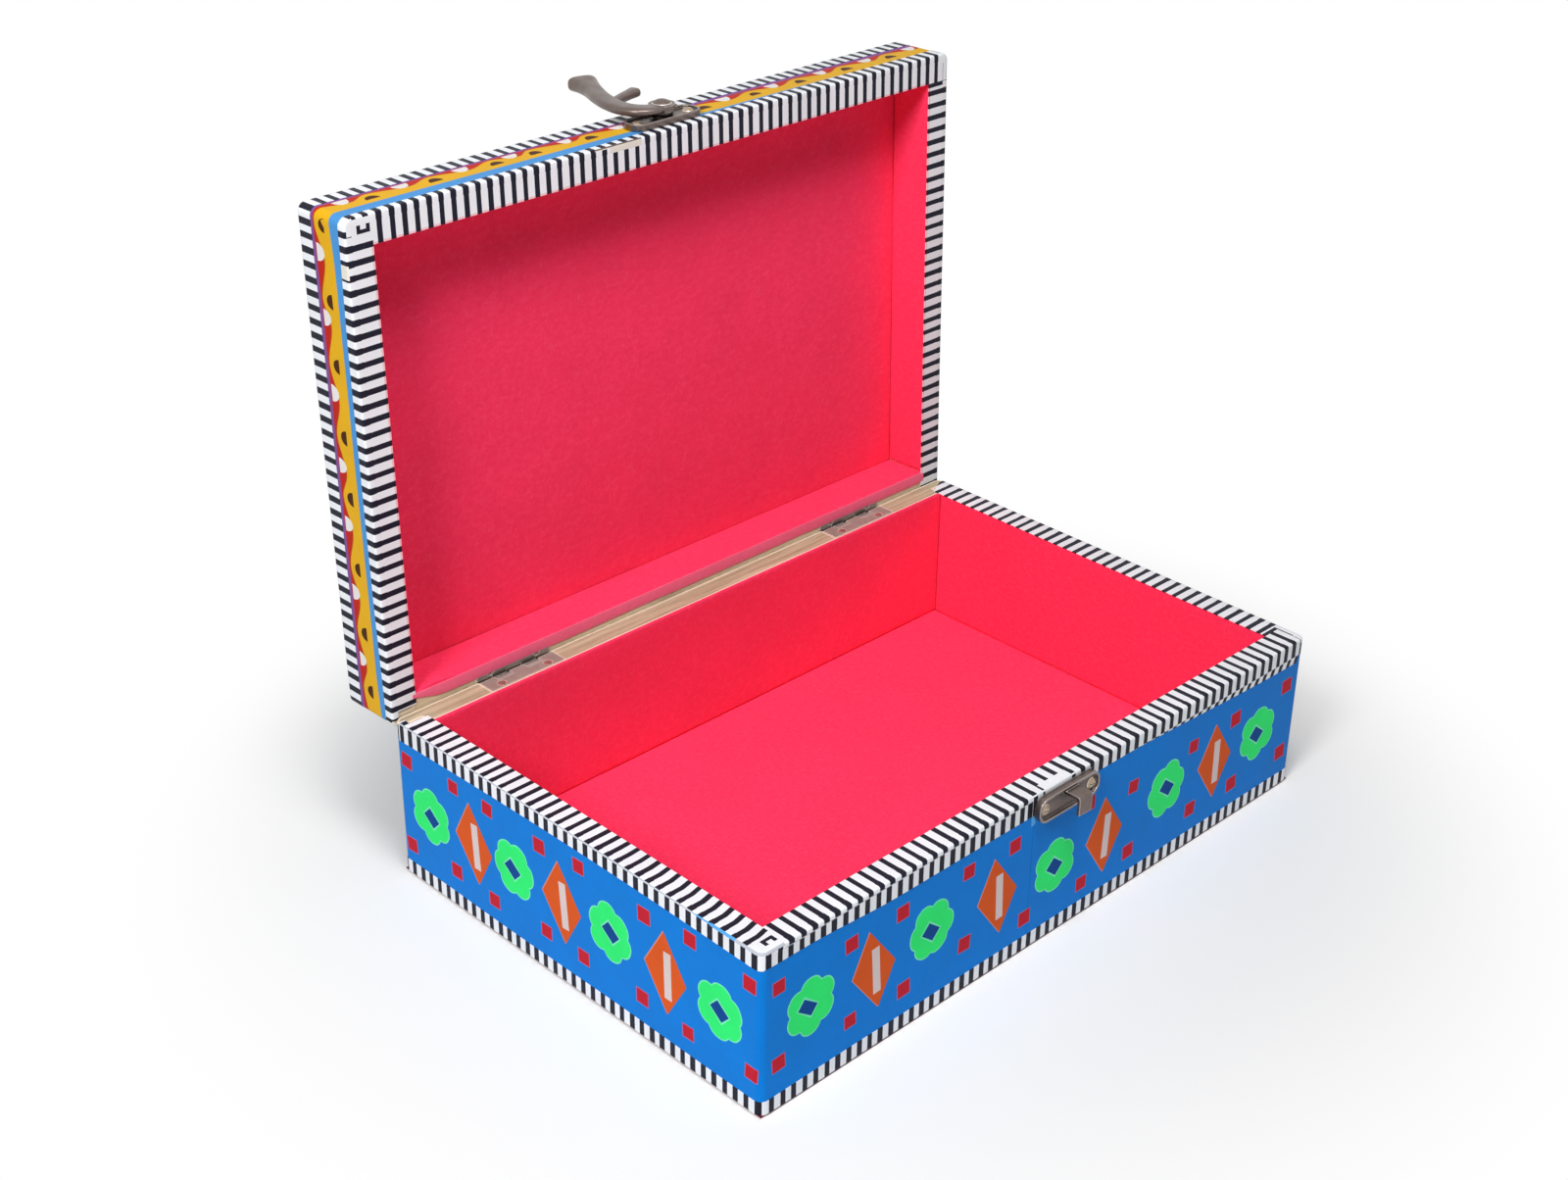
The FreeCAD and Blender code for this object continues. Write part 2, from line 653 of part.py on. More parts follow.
# stations along the horn: place and lift in shares of its reach, heading in degrees, width, depth
HORN = (
    (-0.025, -0.010, 0.000, 190, "1.05 * arm_width", "0.88 * lever_thickness"),
    (-0.130, -0.020, 0.000, 168, "1.03 * arm_width", "0.90 * lever_thickness"),
    (-0.225, 0.040, 0.000, 126, "arm_width", "0.96 * lever_thickness"),
    (-0.268, 0.160, 0.002, 96, "arm_width", "1.04 * lever_thickness"),
    (-0.250, 0.335, 0.010, 79, "0.94 * arm_width", "1.15 * lever_thickness"),
    (-0.190, 0.525, 0.020, 70, "0.82 * arm_width", "1.40 * lever_thickness"),
    (-0.115, 0.700, 0.030, 66, "0.76 * arm_width", "0.43 * bell_width"),
    (-0.055, 0.840, 0.050, 68, "0.70 * bell_width", "0.60 * bell_width"),
    (-0.015, 0.955, 0.070, 71, "0.97 * bell_width", "0.87 * bell_width"),
    (-0.003, 1.000, 0.075, 72, "0.93 * bell_width", "0.84 * bell_width"),
)
ROUNDNESS = 0.92


def horn_section(across, up, lift, heading, width, depth):
    """Rounded rectangle square to the horn's line, drawn with quarter arcs and straight runs."""
    half_wide = value(width) / 2
    half_deep = value(depth) / 2
    round_off = ROUNDNESS * min(half_wide, half_deep)
    lean = round_off * (1 - math.sqrt(0.5))
    arcs = []
    for side, level in ((1, -1), (1, 1), (-1, 1), (-1, -1)):
        flat_end = V(side * (half_wide - round_off), level * half_deep, 0)
        turn = V(side * (half_wide - lean), level * (half_deep - lean), 0)
        side_end = V(side * half_wide, level * (half_deep - round_off), 0)
        arcs.append((side_end, turn, flat_end) if side == level else (flat_end, turn, side_end))
    edges = []
    for arc, following in zip(arcs, arcs[1:] + arcs[:1]):
        edges.append(Part.Arc(*arc).toShape())
        edges.append(Part.LineSegment(arc[-1], following[0]).toShape())
    wire = Part.Wire(edges)
    angle = math.radians(heading)
    along = V(math.cos(angle), math.sin(angle), 0)
    facing = FreeCAD.Rotation(along.cross(Z_AXIS), Z_AXIS, along, "ZXY")
    reach = value("lever_reach")
    middle = value("lever_lift + lever_thickness / 2") + lift * reach
    wire.Placement = FreeCAD.Placement(V(across * reach, up * reach, middle), facing)
    return wire


pivot = V(value("pivot_offset"), value("front_face"), value("pivot_z"))
lever_frame = FreeCAD.Placement(pivot, FreeCAD.Rotation(X_AXIS, 90))
horn = doc.addObject("Part::Feature", "lever_horn")
horn.Shape = Part.makeLoft([horn_section(*station) for station in HORN], True, False)
horn.Placement = lever_frame
hub = on_pivot("lever_hub", "hub_radius", "lever_thickness", "lever_lift")
tilt = FreeCAD.Rotation(Z_AXIS, value("finger_tilt"))
finger_frame = lever_frame.multiply(FreeCAD.Placement(V(0, value("finger_radius"), 0), tilt))
finger = turned_box("lever_finger", finger_frame, ("-finger_root", "finger_tip"), about("0", "finger_width"),
                    ("lever_lift", "lever_top"))
pivot_bore = on_pivot("lever_bore", "rivet_shank + swing_play", "lever_top + overcut")
add("latch_lever", cut("latch_lever", fuse("lever_blank", hub, horn, finger), pivot_bore))

# The lid and all that is on it turn about the hinge pins to the open stop
doc.recompute()
LID_MARKS = ("lid_", "latch_")
pin = V(0, value("pin_y"), value("pin_z"))
opened = FreeCAD.Placement(V(0, 0, 0), FreeCAD.Rotation(X_AXIS, -value("lid_open")), pin)
for label, item in pieces.items():
    if label.startswith(LID_MARKS) or "_lid_" in label:
        item.Placement = opened.multiply(item.Placement)
doc.recompute()

faults = [item.Label for item in doc.Objects if "Invalid" in item.State or "Error" in item.State]
faults += [label for label, item in pieces.items() if item.Shape.isNull() or not item.Shape.isValid()]
if faults:
    raise RuntimeError("these objects failed: " + ", ".join(sorted(set(faults))))

os.makedirs("parts", exist_ok=True)
for label, item in pieces.items():
    item.Shape.exportStep("parts/%s.step" % label)
    print("%-24s solids %d  volume %.2f" % (label, len(item.Shape.Solids), item.Shape.Volume))
print(len(pieces), "pieces")
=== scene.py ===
"""Looks of a felt-lined keepsake box: striped tape, cut-film patterns, red felt and a cast horn latch."""

import json
import math
import random

import bmesh
import bpy
from mathutils import Matrix, Vector, noise


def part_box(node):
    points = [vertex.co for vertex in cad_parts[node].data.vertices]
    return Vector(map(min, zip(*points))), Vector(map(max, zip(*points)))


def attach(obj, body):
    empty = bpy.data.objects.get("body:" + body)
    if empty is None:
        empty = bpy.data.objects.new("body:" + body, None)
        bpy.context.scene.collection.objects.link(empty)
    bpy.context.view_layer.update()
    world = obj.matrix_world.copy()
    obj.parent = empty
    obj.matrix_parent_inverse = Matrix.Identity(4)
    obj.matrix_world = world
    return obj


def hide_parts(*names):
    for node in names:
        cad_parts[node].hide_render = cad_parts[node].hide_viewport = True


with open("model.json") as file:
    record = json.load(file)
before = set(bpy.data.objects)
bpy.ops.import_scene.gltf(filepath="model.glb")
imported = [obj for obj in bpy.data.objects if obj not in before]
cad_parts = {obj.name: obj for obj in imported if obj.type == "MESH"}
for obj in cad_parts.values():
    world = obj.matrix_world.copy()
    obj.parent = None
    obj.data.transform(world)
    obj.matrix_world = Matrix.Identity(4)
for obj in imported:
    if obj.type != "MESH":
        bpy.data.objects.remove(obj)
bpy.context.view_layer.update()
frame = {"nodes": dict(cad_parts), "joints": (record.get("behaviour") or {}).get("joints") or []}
NODES = frame["nodes"]
JOINTS = {joint["name"]: joint for joint in frame["joints"]}
SCENE = bpy.context.scene
MM = 0.001


def mm(*values):
    """Lengths in millimetres as metres."""
    return [value * MM for value in values]


# The lid is drawn shut and turned open about its hinge

def hinge_turn(joint):
    """Turn of a joint's child from rest to its upper limit."""
    pivot = Matrix.Translation(Vector(joint["pos_m"]))
    turn = Matrix.Rotation(math.radians(joint["range_deg"][1]), 4, Vector(joint["axis"]))
    return pivot @ turn @ pivot.inverted()


SHUT = hinge_turn(JOINTS["lid_hinge"])
OPEN = SHUT.inverted()


def shut_box(node):
    """Lowest and highest corner of a lid node with the lid shut."""
    places = [SHUT @ vertex.co for vertex in NODES[node].data.vertices]
    return [Vector([pick(place[axis] for place in places) for axis in range(3)]) for pick in (min, max)]


# Sizes and places, from the frame

foot_low, foot_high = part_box("base_foot_tape")
rim_low, rim_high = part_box("base_rim_tape")
rear_low, rear_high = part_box("base_rear_tape")
sheet_low, sheet_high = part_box("base_left_sheet")
lid_rim_low, lid_rim_high = shut_box("lid_rim_tape")
lid_rear_low, lid_rear_high = shut_box("lid_rear_tape")
band_low, band_high = shut_box("lid_side_band")
lid_top_low, lid_top_high = shut_box("lid_top_tape")
top_low, top_high = shut_box("lid_top_sheet")

HALF_X, HALF_Y = foot_high.x, foot_high.y
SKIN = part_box("base_left_panel")[0].x + HALF_X
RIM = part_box("base_left_lining")[1].x + HALF_X
TAPE_END = rim_high.y
CORNER = 2.8 * MM
TAPE, FOLD, FLANGE, FILM = mm(0.28, 0.65, 2.4, 0.2)
BARE, UNDERLAP = mm(5.5, 1.1)
JOIN_GAP, SEAM_GAP, HINGE_ROOM = mm(0.2, 0.15, 0.15)
STEP, FILM_BEVEL = mm(0.01, 0.03)
SAME = 1e-6

STRAIGHT_X = 2 * (HALF_X - CORNER)
STRAIGHT_Y = 2 * (HALF_Y - CORNER)
BEND = CORNER * math.pi / 2
BEND_STEPS = 8
LOOP = 2 * (STRAIGHT_X + STRAIGHT_Y) + 4 * BEND

UP = Vector((0, 0, 1))
# Outward, along, distance from the box's middle, and distance round the outline of the side's middle
SIDES = {
    "front": (Vector((0, -1, 0)), Vector((1, 0, 0)), HALF_Y, BEND / 2 + STRAIGHT_X / 2),
    "right": (Vector((1, 0, 0)), Vector((0, 1, 0)), HALF_X, 1.5 * BEND + STRAIGHT_X + STRAIGHT_Y / 2),
    "back": (Vector((0, 1, 0)), Vector((-1, 0, 0)), HALF_Y, 2.5 * BEND + 1.5 * STRAIGHT_X + STRAIGHT_Y),
    "left": (Vector((-1, 0, 0)), Vector((0, -1, 0)), HALF_X, -BEND / 2 - STRAIGHT_Y / 2),
}
# The seen side whose pattern a side has, and -1 where it is in mirror image
PATTERN_OF = {"front": ("front", 1), "right": ("left", -1), "back": ("front", -1), "left": ("left", 1)}
CORNERS = [(-1, -1, STRAIGHT_X), (1, -1, STRAIGHT_Y), (1, 1, STRAIGHT_X), (-1, 1, STRAIGHT_Y)]


def around(s):
    """Place and outward direction on the finished outline, s metres round from the front left corner."""
    rest = (s + BEND / 2) % LOOP
    for turn, (side_x, side_y, run) in enumerate(CORNERS):
        centre = Vector((side_x * (HALF_X - CORNER), side_y * (HALF_Y - CORNER), 0))
        angle = math.pi * (1 + turn / 2) + min(rest, BEND) / CORNER
        outward = Vector((math.cos(angle), math.sin(angle), 0))
        if rest <= BEND + run:
            along = Vector((-outward.y, outward.x, 0)) * max(rest - BEND, 0)
            return centre + outward * CORNER + along, outward
        rest -= BEND + run
    return around(0)


def outline_point(s, inset, height):
    """A point at a place round the outline, set in from it, at a height."""
    where, outward = around(s)
    return where - outward * inset + UP * height


def loop_at(side, t):
    """Distance round the outline of a place on a side."""
    return SIDES[side][3] + t


def front_x(s):
    """A place round the outline as a distance from the front's middle."""
    return s - loop_at("front", 0)


def left_share(s):
    """A place round the outline as a share of the left side, from its back end."""
    return (s - loop_at("left", -HALF_Y)) / (2 * HALF_Y)


def bend_stations(start, end):
    """Stations that carry a sweep round the corners between two places."""
    stations = []
    for lap in (-1, 0, 1):
        corner = lap * LOOP
        for _, _, run in CORNERS:
            stations += [corner + BEND * (step / BEND_STEPS - 0.5) for step in range(BEND_STEPS + 1)]
            corner += BEND + run
    return [station for station in stations if start < station < end]


ALL_ROUND = (loop_at("back", 0) - LOOP + JOIN_GAP, loop_at("back", 0))


# Meshes

def add(name, data):
    """A new object in the scene."""
    obj = bpy.data.objects.new(name, data)
    SCENE.collection.objects.link(obj)
    return obj


def piece(name, body, verts, faces, materials, paint, slot, nodes=(), crease=35):
    """A closed mesh that rides on a body, with a material for each face and sharp edges past the crease."""
    place = Matrix() if body == "base" else OPEN
    mesh = bpy.data.meshes.new(name)
    mesh.from_pydata([place @ Vector(vert) for vert in verts], [], faces)
    for material in materials:
        mesh.materials.append(material)
    mesh.polygons.foreach_set("material_index", paint)
    mesh.polygons.foreach_set("use_smooth", [True] * len(faces))
    shape = bmesh.new()
    shape.from_mesh(mesh)
    bmesh.ops.recalc_face_normals(shape, faces=shape.faces)
    shape.to_mesh(mesh)
    shape.free()
    mesh.set_sharp_from_angle(angle=math.radians(crease))
    obj = add(name, mesh)
    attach(obj, body)
    if nodes:
        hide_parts(*nodes)
    return obj


class Solid:
    """Vertices, faces and face materials of a piece that is made of several closed parts."""

    def __init__(self):
        self.verts = []
        self.faces = []
        self.paint = []

    def sweep(self, stations, section, place, paint=lambda s, row: 0):
        """Carries a closed section along the stations; paint picks each stretch's material."""
        first = len(self.verts)
        count = len(section)
        self.verts += [place(s, point) for s in stations for point in section]
        for i in range(len(stations) - 1):
            middle = (stations[i] + stations[i + 1]) / 2
            here = first + i * count
            for j in range(count):
                k = (j + 1) % count
                self.faces.append((here + j, here + count + j, here + count + k, here + k))
                self.paint.append(paint(middle, j))
        last = first + (len(stations) - 1) * count
        self.faces.append(tuple(range(first + count - 1, first - 1, -1)))
        self.faces.append(tuple(range(last, last + count)))
        self.paint += [paint(stations[0], 0), paint(stations[-1], 0)]

    def plate(self, outline, put, low, high, bevel=FILM_BEVEL):
        """A thin cut-out: put(u, v, h) places its outline, which every line from its middle meets once."""
        first = len(self.verts)
        count = len(outline)
        middle = sum((Vector(point) for point in outline), Vector((0, 0))) / count
        size = max((Vector(point) - middle).length for point in outline)
        inner = [middle + (Vector(point) - middle) * (1 - bevel / size) for point in outline]
        levels = [(outline, low), (outline, high - min(bevel, (high - low) / 2)), (inner, high)]
        for points, level in levels:
            self.verts += [put(point[0], point[1], level) for point in points]
        self.verts += [put(middle.x, middle.y, low), put(middle.x, middle.y, high)]
        floor, crown = len(self.verts) - 2, len(self.verts) - 1
        for j in range(count):
            k = (j + 1) % count
            self.faces.append((floor, first + k, first + j))
            for base in (first, first + count):
                self.faces.append((base + j, base + k, base + count + k, base + count + j))
            self.faces.append((first + 2 * count + j, first + 2 * count + k, crown))
        self.paint += [0] * (4 * count)

    def piece(self, name, body, materials, slot, **options):
        """The finished piece."""
        return piece(name, body, self.verts, self.faces, materials, self.paint, slot, **options)


def wobble(s, size, step, seed):
    """A slow hand-made unevenness along a line."""
    return size * noise.noise(Vector((s / step, seed, 0.5)))


def smooth(x):
    """Soft step from 0 to 1."""
    x = min(max(x, 0.0), 1.0)
    return x * x * (3 - 2 * x)


# Materials

BLACK, GREY_DIM, GREY_LIT = (0, 0, 0, 1), (0.82, 0.82, 0.82, 1), (1, 1, 1, 1)
PATINA_DIM, FLOOR_GREY = (0.72, 0.7, 0.68, 1), (0.92, 0.92, 0.92, 1)
MOTTLE, PLASTIC = 0.5, 1.46


def srgb(red, green, blue):
    """A colour as a screen shows it, 0 to 255, as linear light."""
    shares = [value / 255 for value in (red, green, blue)]
    return (*[c / 12.92 if c <= 0.04045 else ((c + 0.055) / 1.055) ** 2.4 for c in shares], 1.0)


def add_node(tree, kind, links=None, **settings):
    """A new node; links holds a socket or a constant for each of its inputs."""
    made = tree.nodes.new("ShaderNode" + kind)
    for key, value in settings.items():
        setattr(made, key, value)
    for key, value in (links or {}).items():
        if isinstance(value, bpy.types.NodeSocket):
            tree.links.new(value, made.inputs[key])
        else:
            made.inputs[key].default_value = value
    return made


class Shader:
    """A material with one main shader, and the nodes that feed it."""

    def __init__(self, name, **inputs):
        self.material = bpy.data.materials.new(name)
        self.material.use_nodes = True
        self.tree = self.material.node_tree
        self.main = self.tree.nodes["Principled BSDF"]
        self.coords = self.node("TexCoord").outputs["Object"]
        for key, value in inputs.items():
            self.main.inputs[key.replace("_", " ")].default_value = value

    def node(self, kind, links=None, **settings):
        """A new node of this material."""
        return add_node(self.tree, kind, links, **settings)

    def noise(self, size, detail=3.0, rough=0.55, stretch=(1, 1, 1)):
        """Noise whose marks are about size metres across, drawn out along an axis by stretch."""
        scaled = self.node("Mapping", {"Vector": self.coords, "Scale": stretch})
        texture = self.node("TexNoise", {
            "Vector": scaled.outputs["Vector"], "Scale": 1 / size, "Detail": detail, "Roughness": rough})
        return texture.outputs["Fac"]

    def ramp(self, value, *stops):
        """A colour scale over a value: (place, colour) stops."""
        scale = self.node("ValToRGB", {"Fac": value})
        elements = scale.color_ramp.elements
        elements[0].position, elements[0].color = stops[0]
        elements[1].position, elements[1].color = stops[-1]
        for place, colour in stops[1:-1]:
            elements.new(place).color = colour
        return scale.outputs["Color"]

    def mix(self, share, first, second, kind="MIX"):
        """Two colours, blended by a share."""
        links = {0: share, 6: first, 7: second}
        return self.node("Mix", links, data_type="RGBA", blend_type=kind).outputs[2]

    def shade(self, share, colour, value, low, high, dark=GREY_DIM):
        """A colour, darkened by a share where a value is low."""
        return self.mix(share, colour, self.ramp(value, (low, dark), (high, GREY_LIT)), "MULTIPLY")

    def maths(self, operation, first, second):
        """A sum, product or the like of two values."""
        return self.node("Math", {0: first, 1: second}, operation=operation).outputs[0]

    def scale(self, value, low, high):
        """A value from 0 to 1 drawn out to low to high."""
        links = {"Value": value, "To Min": low, "To Max": high}
        return self.node("MapRange", links).outputs["Result"]

    def done(self, colour, rough, relief, depth, strength):
        """The finished material with its colour, its relief and, where given, its uneven roughness."""
        links = {"Height": relief, "Distance": depth, "Strength": strength}
        bump = self.node("Bump", links).outputs["Normal"]
        for name, socket in (("Base Color", colour), ("Roughness", rough), ("Normal", bump)):
            if socket is not None:
                self.tree.links.new(socket, self.main.inputs[name])
        return self.material


def film(name, colour, roughness=0.42):
    """Coloured plastic film: a faint mottle, a fine grain and an uneven soft gloss."""
    made = Shader(name, IOR=PLASTIC, Specular_IOR_Level=0.05)
    slow = made.noise(14 * MM, 4)
    grain = made.noise(0.35 * MM, 2)
    toned = made.shade(MOTTLE, srgb(*colour), slow, 0.3, 0.7)
    speckled = made.shade(MOTTLE, toned, grain, 0.25, 0.65)
    return made.done(speckled, made.scale(slow, roughness - 0.08, roughness + 0.1), grain, 0.012 * MM, 0.5)


def tape_ink(name, colour, worn):
    """Printed tape: ink with rubbed specks and faint dirt."""
    made = Shader(name, IOR=PLASTIC, Specular_IOR_Level=0.08)
    rub = made.noise(1.1 * MM, 5, 0.7)
    haze = made.noise(22 * MM, 3)
    specks = made.ramp(rub, (0.62, BLACK), (0.78, GREY_LIT))
    worn_ink = made.mix(specks, srgb(*colour), srgb(*worn))
    dirty = made.shade(0.45, worn_ink, haze, 0.3, 0.65)
    return made.done(dirty, made.scale(haze, 0.32, 0.5), rub, 0.015 * MM, 0.5)


def felt(name, colour, pale, deep):
    """Pressed felt: tangled short fibres, soft blotches, pale lint and a velvet edge."""
    colour, pale, deep = srgb(*colour), srgb(*pale), srgb(*deep)
    made = Shader(name, Roughness=0.95, Specular_IOR_Level=0.12, Sheen_Weight=0.12, Sheen_Roughness=0.5,
                  Sheen_Tint=pale)
    across = made.noise(0.7 * MM, 4, 0.7, (1, 0.25, 0.6))
    along = made.noise(0.7 * MM, 4, 0.7, (0.25, 1, 0.4))
    blotch = made.noise(26 * MM, 4, 0.5)
    tangle = made.maths("MULTIPLY", across, along)
    fibres = made.ramp(tangle, (0.14, deep), (0.27, colour), (0.45, pale))
    toned = made.shade(0.3, made.mix(0.2, colour, fibres), blotch, 0.3, 0.62)
    lint = made.node("TexVoronoi", {"Vector": made.coords, "Scale": 1 / (5 * MM)})
    spots = made.ramp(lint.outputs["Distance"], (0.035, GREY_LIT), (0.06, BLACK))
    rare = made.ramp(lint.outputs["Color"], (0.88, BLACK), (0.9, GREY_LIT))
    specks = made.maths("MULTIPLY", spots, rare)
    linty = made.mix(made.maths("MULTIPLY", specks, 0.35), toned, pale)
    return made.done(linty, None, tangle, 0.3 * MM, 0.35)


def edge_highlight_mask(made, radius):
    """1 along the edges of a solid and 0 on its faces."""
    rounded = made.node("Bevel", {"Radius": radius}, samples=6).outputs["Normal"]
    true = made.node("NewGeometry").outputs["Normal"]
    agree = made.node("VectorMath", {0: rounded, 1: true}, operation="DOT_PRODUCT")
    return made.ramp(agree.outputs["Value"], (0.9, GREY_LIT), (0.995, BLACK))


def wood(name, colour, dark, pale):
    """Bare pale board: long grain, fine pores, saw marks, and edges painted lighter, partly as rubbed wear
    and partly as a painted highlight.
    """
    made = Shader(name, Specular_IOR_Level=0.25)
    grain = made.noise(1.6 * MM, 5, 0.65, (0.045, 1, 1))
    pores = made.noise(0.35 * MM, 3, 0.6, (0.08, 1, 1))
    tone = made.ramp(grain, (0.32, srgb(*dark)), (0.62, srgb(*colour)))
    toned = made.shade(0.8, tone, pores, 0.3, 0.6)
    # edges lighter: a painted highlight along the board's edges, with some rubbed wear
    rubbed = made.mix(edge_highlight_mask(made, 1.5 * MM), toned, srgb(*pale))
    return made.done(rubbed, made.scale(grain, 0.8, 0.62), made.maths("ADD", grain, pores), 0.12 * MM, 0.6)


def metal(name, colour, recess_grime_and_shade, edge, roughness, metallic, gloss=0.5, scratch=(1, 1, 1),
          rubbed=0.6 * MM, depth=5 * MM):
    """Plated metal: grime and painted shade in hollows, edges painted lighter as a highlight with some
    rubbed wear, an uneven patina, and pits or drawn-out scratches.
    """
    made = Shader(name, Metallic=metallic, Specular_IOR_Level=gloss)
    blot = made.noise(5 * MM, 5, 0.65)
    pits = made.noise(0.4 * MM, 4, 0.7, scratch)
    # darker where little around is open: grime, and painted shade in recesses, screw slots and under the
    # strike's nose
    grime_and_shade = made.node("AmbientOcclusion", {"Distance": depth}, samples=8, only_local=True)
    open_share = made.maths("ADD", grime_and_shade.outputs["AO"], made.scale(pits, -0.12, 0.12))
    tone = made.ramp(open_share, (0.62, srgb(*recess_grime_and_shade)), (1.0, srgb(*colour)))
    patina = made.shade(0.8, tone, blot, 0.35, 0.65, PATINA_DIM)
    # edges lighter: a painted highlight, with some rubbed wear
    painted_edge_highlights = made.mix(edge_highlight_mask(made, rubbed), patina, srgb(*edge))
    return made.done(painted_edge_highlights, made.scale(blot, roughness + 0.14, roughness - 0.08), pits, 0.03 * MM, 0.45)


BLUE = film("film_blue", (10, 131, 228))
BLUE_TAB = film("film_blue_tab", (96, 176, 240))
GREEN = film("film_green", (50, 254, 126), 0.38)
MINT = film("film_mint", (128, 250, 196), 0.35)
NAVY = film("film_navy", (0, 74, 152))
ORANGE = film("film_orange", (230, 93, 30))
PEACH = film("film_peach", (232, 150, 122))
CREAM = film("film_cream", (232, 214, 212))
RED = film("film_red", (206, 30, 50))
PINK = film("film_pink", (214, 98, 130))
YELLOW = film("film_yellow", (240, 184, 34))
AMBER = film("film_amber", (196, 104, 24))
SCARLET = film("film_scarlet", (200, 40, 24))
PURPLE = film("film_purple", (134, 88, 156))
SKY = film("film_sky", (82, 158, 226))
WHITE = film("film_white", (244, 240, 240))
BROWN = film("film_brown", (76, 36, 10))
TAPE_WHITE = tape_ink("tape_white", (247, 250, 255), (222, 226, 234))
TAPE_BLACK = tape_ink("tape_black", (34, 34, 48), (70, 70, 84))
TAPE_CORE = tape_ink("tape_core", (236, 230, 220), (212, 202, 188))
# grey painted shade for fold lines and below the strike plate
TAPE_SHADE_GREY = tape_ink("tape_edge", (196, 202, 214), (166, 170, 180))
TAPE_BLUSH = tape_ink("tape_blush", (255, 206, 214), (244, 170, 184))
TAPE_GLUE = tape_ink("tape_glue", (120, 102, 94), (150, 134, 124))
CRIMSON = felt("felt_crimson", (255, 60, 103), (255, 132, 164), (222, 32, 66))
# a lighter copy of the red felt: painted light for the lid's rear lip, which the lamps light less
FELT_PAINTED_LIGHTER = felt("felt_painted_light", (255, 114, 150), (255, 170, 192), (255, 80, 120))
MAROON = felt("felt_maroon", (122, 16, 44), (176, 70, 96), (84, 6, 24))
BOARD = wood("bare_board", (206, 190, 160), (164, 144, 116), (255, 236, 214))
# a lighter copy of the bare board: painted light for the lid's rear rim strip, which faces away from the
# lamps when the lid is open
BOARD_PAINTED_LIGHTER = wood("board_painted_light", (250, 228, 194), (208, 182, 150), (255, 242, 222))
# each metal's third colour is its painted edge highlight, its second the grime and painted shade in its
# hollows
BRONZE = metal("cast_bronze", (122, 108, 103), (40, 31, 29), (222, 212, 204), 0.3, 0.85)
BRASS = metal("screw_brass", (186, 164, 140), (46, 36, 30), (255, 246, 232), 0.3, 0.7,
              rubbed=0.3 * MM, depth=0.8 * MM)
STEEL = metal("hinge_plate", (168, 154, 146), (84, 72, 66), (255, 250, 244), 0.5, 0.2, 0.3, (0.07, 1, 1),
              0.3 * MM, 2 * MM)


# Striped tape

PITCH = 4.45 * MM
DARK_SHARE, RIM_DARK_SHARE = 0.47, 0.41
RIM_PHASE, FOOT_PHASE, LID_PHASE, TOP_PHASE = PITCH / 2, -0.8 * MM, -1.8 * MM, 0.3 * MM
STRIPE_DRIFT, STRIPE_WIDTHS, STRIPE_LEAST = 0.14, (0.92, 1.08), 0.2 * MM
HEM, HEM_LINE = mm(1.5, 0.25)
FOLD_ANGLES = (0, 22.5, 45, 67.5, 90)
TOP_TAPE_SAG = -1.1 * MM
FOOT_SEED, BASE_SEED, LID_SEED, TOP_SEED = 11, 21, 31, 41
BASE_REAR_SEED, LID_REAR_SEED, STRIP_SEED = 51, 61, 71
LIGHT, DARK, CORE, SLIVER, PAINTED_SHADE, BLUSH, GLUE = range(7)
TAPE_MATERIALS = [TAPE_WHITE, TAPE_BLACK, TAPE_CORE, BLUE_TAB, TAPE_SHADE_GREY, TAPE_BLUSH, TAPE_GLUE]


class Stripes:
    """Dark stripes along a tape, each a little off its place and width; those on the left side lag."""

    def __init__(self, seed, start, end, phase, share=DARK_SHARE, lag=0.0):
        draw = random.Random(seed)
        self.ends = (start, end)
        self.runs = []
        for k in range(math.floor((start - phase) / PITCH), math.ceil((end - phase) / PITCH) + 1):
            centre = phase + k * PITCH + draw.uniform(-STRIPE_DRIFT, STRIPE_DRIFT) * MM
            half = share * PITCH / 2 * draw.uniform(*STRIPE_WIDTHS)
            if centre < loop_at("front", -HALF_X):
                centre -= lag
            low, high = max(start, centre - half), min(end, centre + half)
            if high - low > STRIPE_LEAST:
                self.runs.append((low, high))

    def stations(self, *ends):
        """Every place where the colour changes, with the two ends."""
        start, end = ends or self.ends
        edges = [edge for run in self.runs for edge in run if start < edge < end]
        return sorted([start, end] + edges)

    def turned(self, marks=()):
        """Stations over the whole tape, with those that take it round the corners and other marks."""
        return sorted({*self.stations(), *bend_stations(*self.ends), *marks})

    def colour(self, s, row=0):
        """Material at a place, the same for every row."""
        return DARK if any(low < s < high for low, high in self.runs) else LIGHT


def tape_piece(solid, node):
    """Striped tape in its node's place."""
    solid.piece(node + "_print", node.split("_")[0], TAPE_MATERIALS, "striped_tape", nodes=[node])


def fold_section(edge, crown, sign):
    """Loop of a tape folded over an edge: from its free edge up to the fold and in along the flange."""
    loop = []
    arc = [math.radians(angle) for angle in FOLD_ANGLES]
    for radius, order in ((FOLD, 1), (FOLD - TAPE, -1)):
        inset = FOLD - radius
        run = [(inset, edge)] + [(inset, crown - sign * depth) for depth in (HEM + HEM_LINE, HEM)]
        run += [(FOLD - radius * math.cos(a), crown - sign * (FOLD - radius * math.sin(a))) for a in arc]
        run.append((FLANGE, crown - sign * inset))
        loop += run[::order]
    return loop


def band_section(low, high, out=0.0, thick=TAPE):
    """Loop of a flat band on the side of the box."""
    return [(-out, low), (-out, high), (thick - out, high), (thick - out, low)]


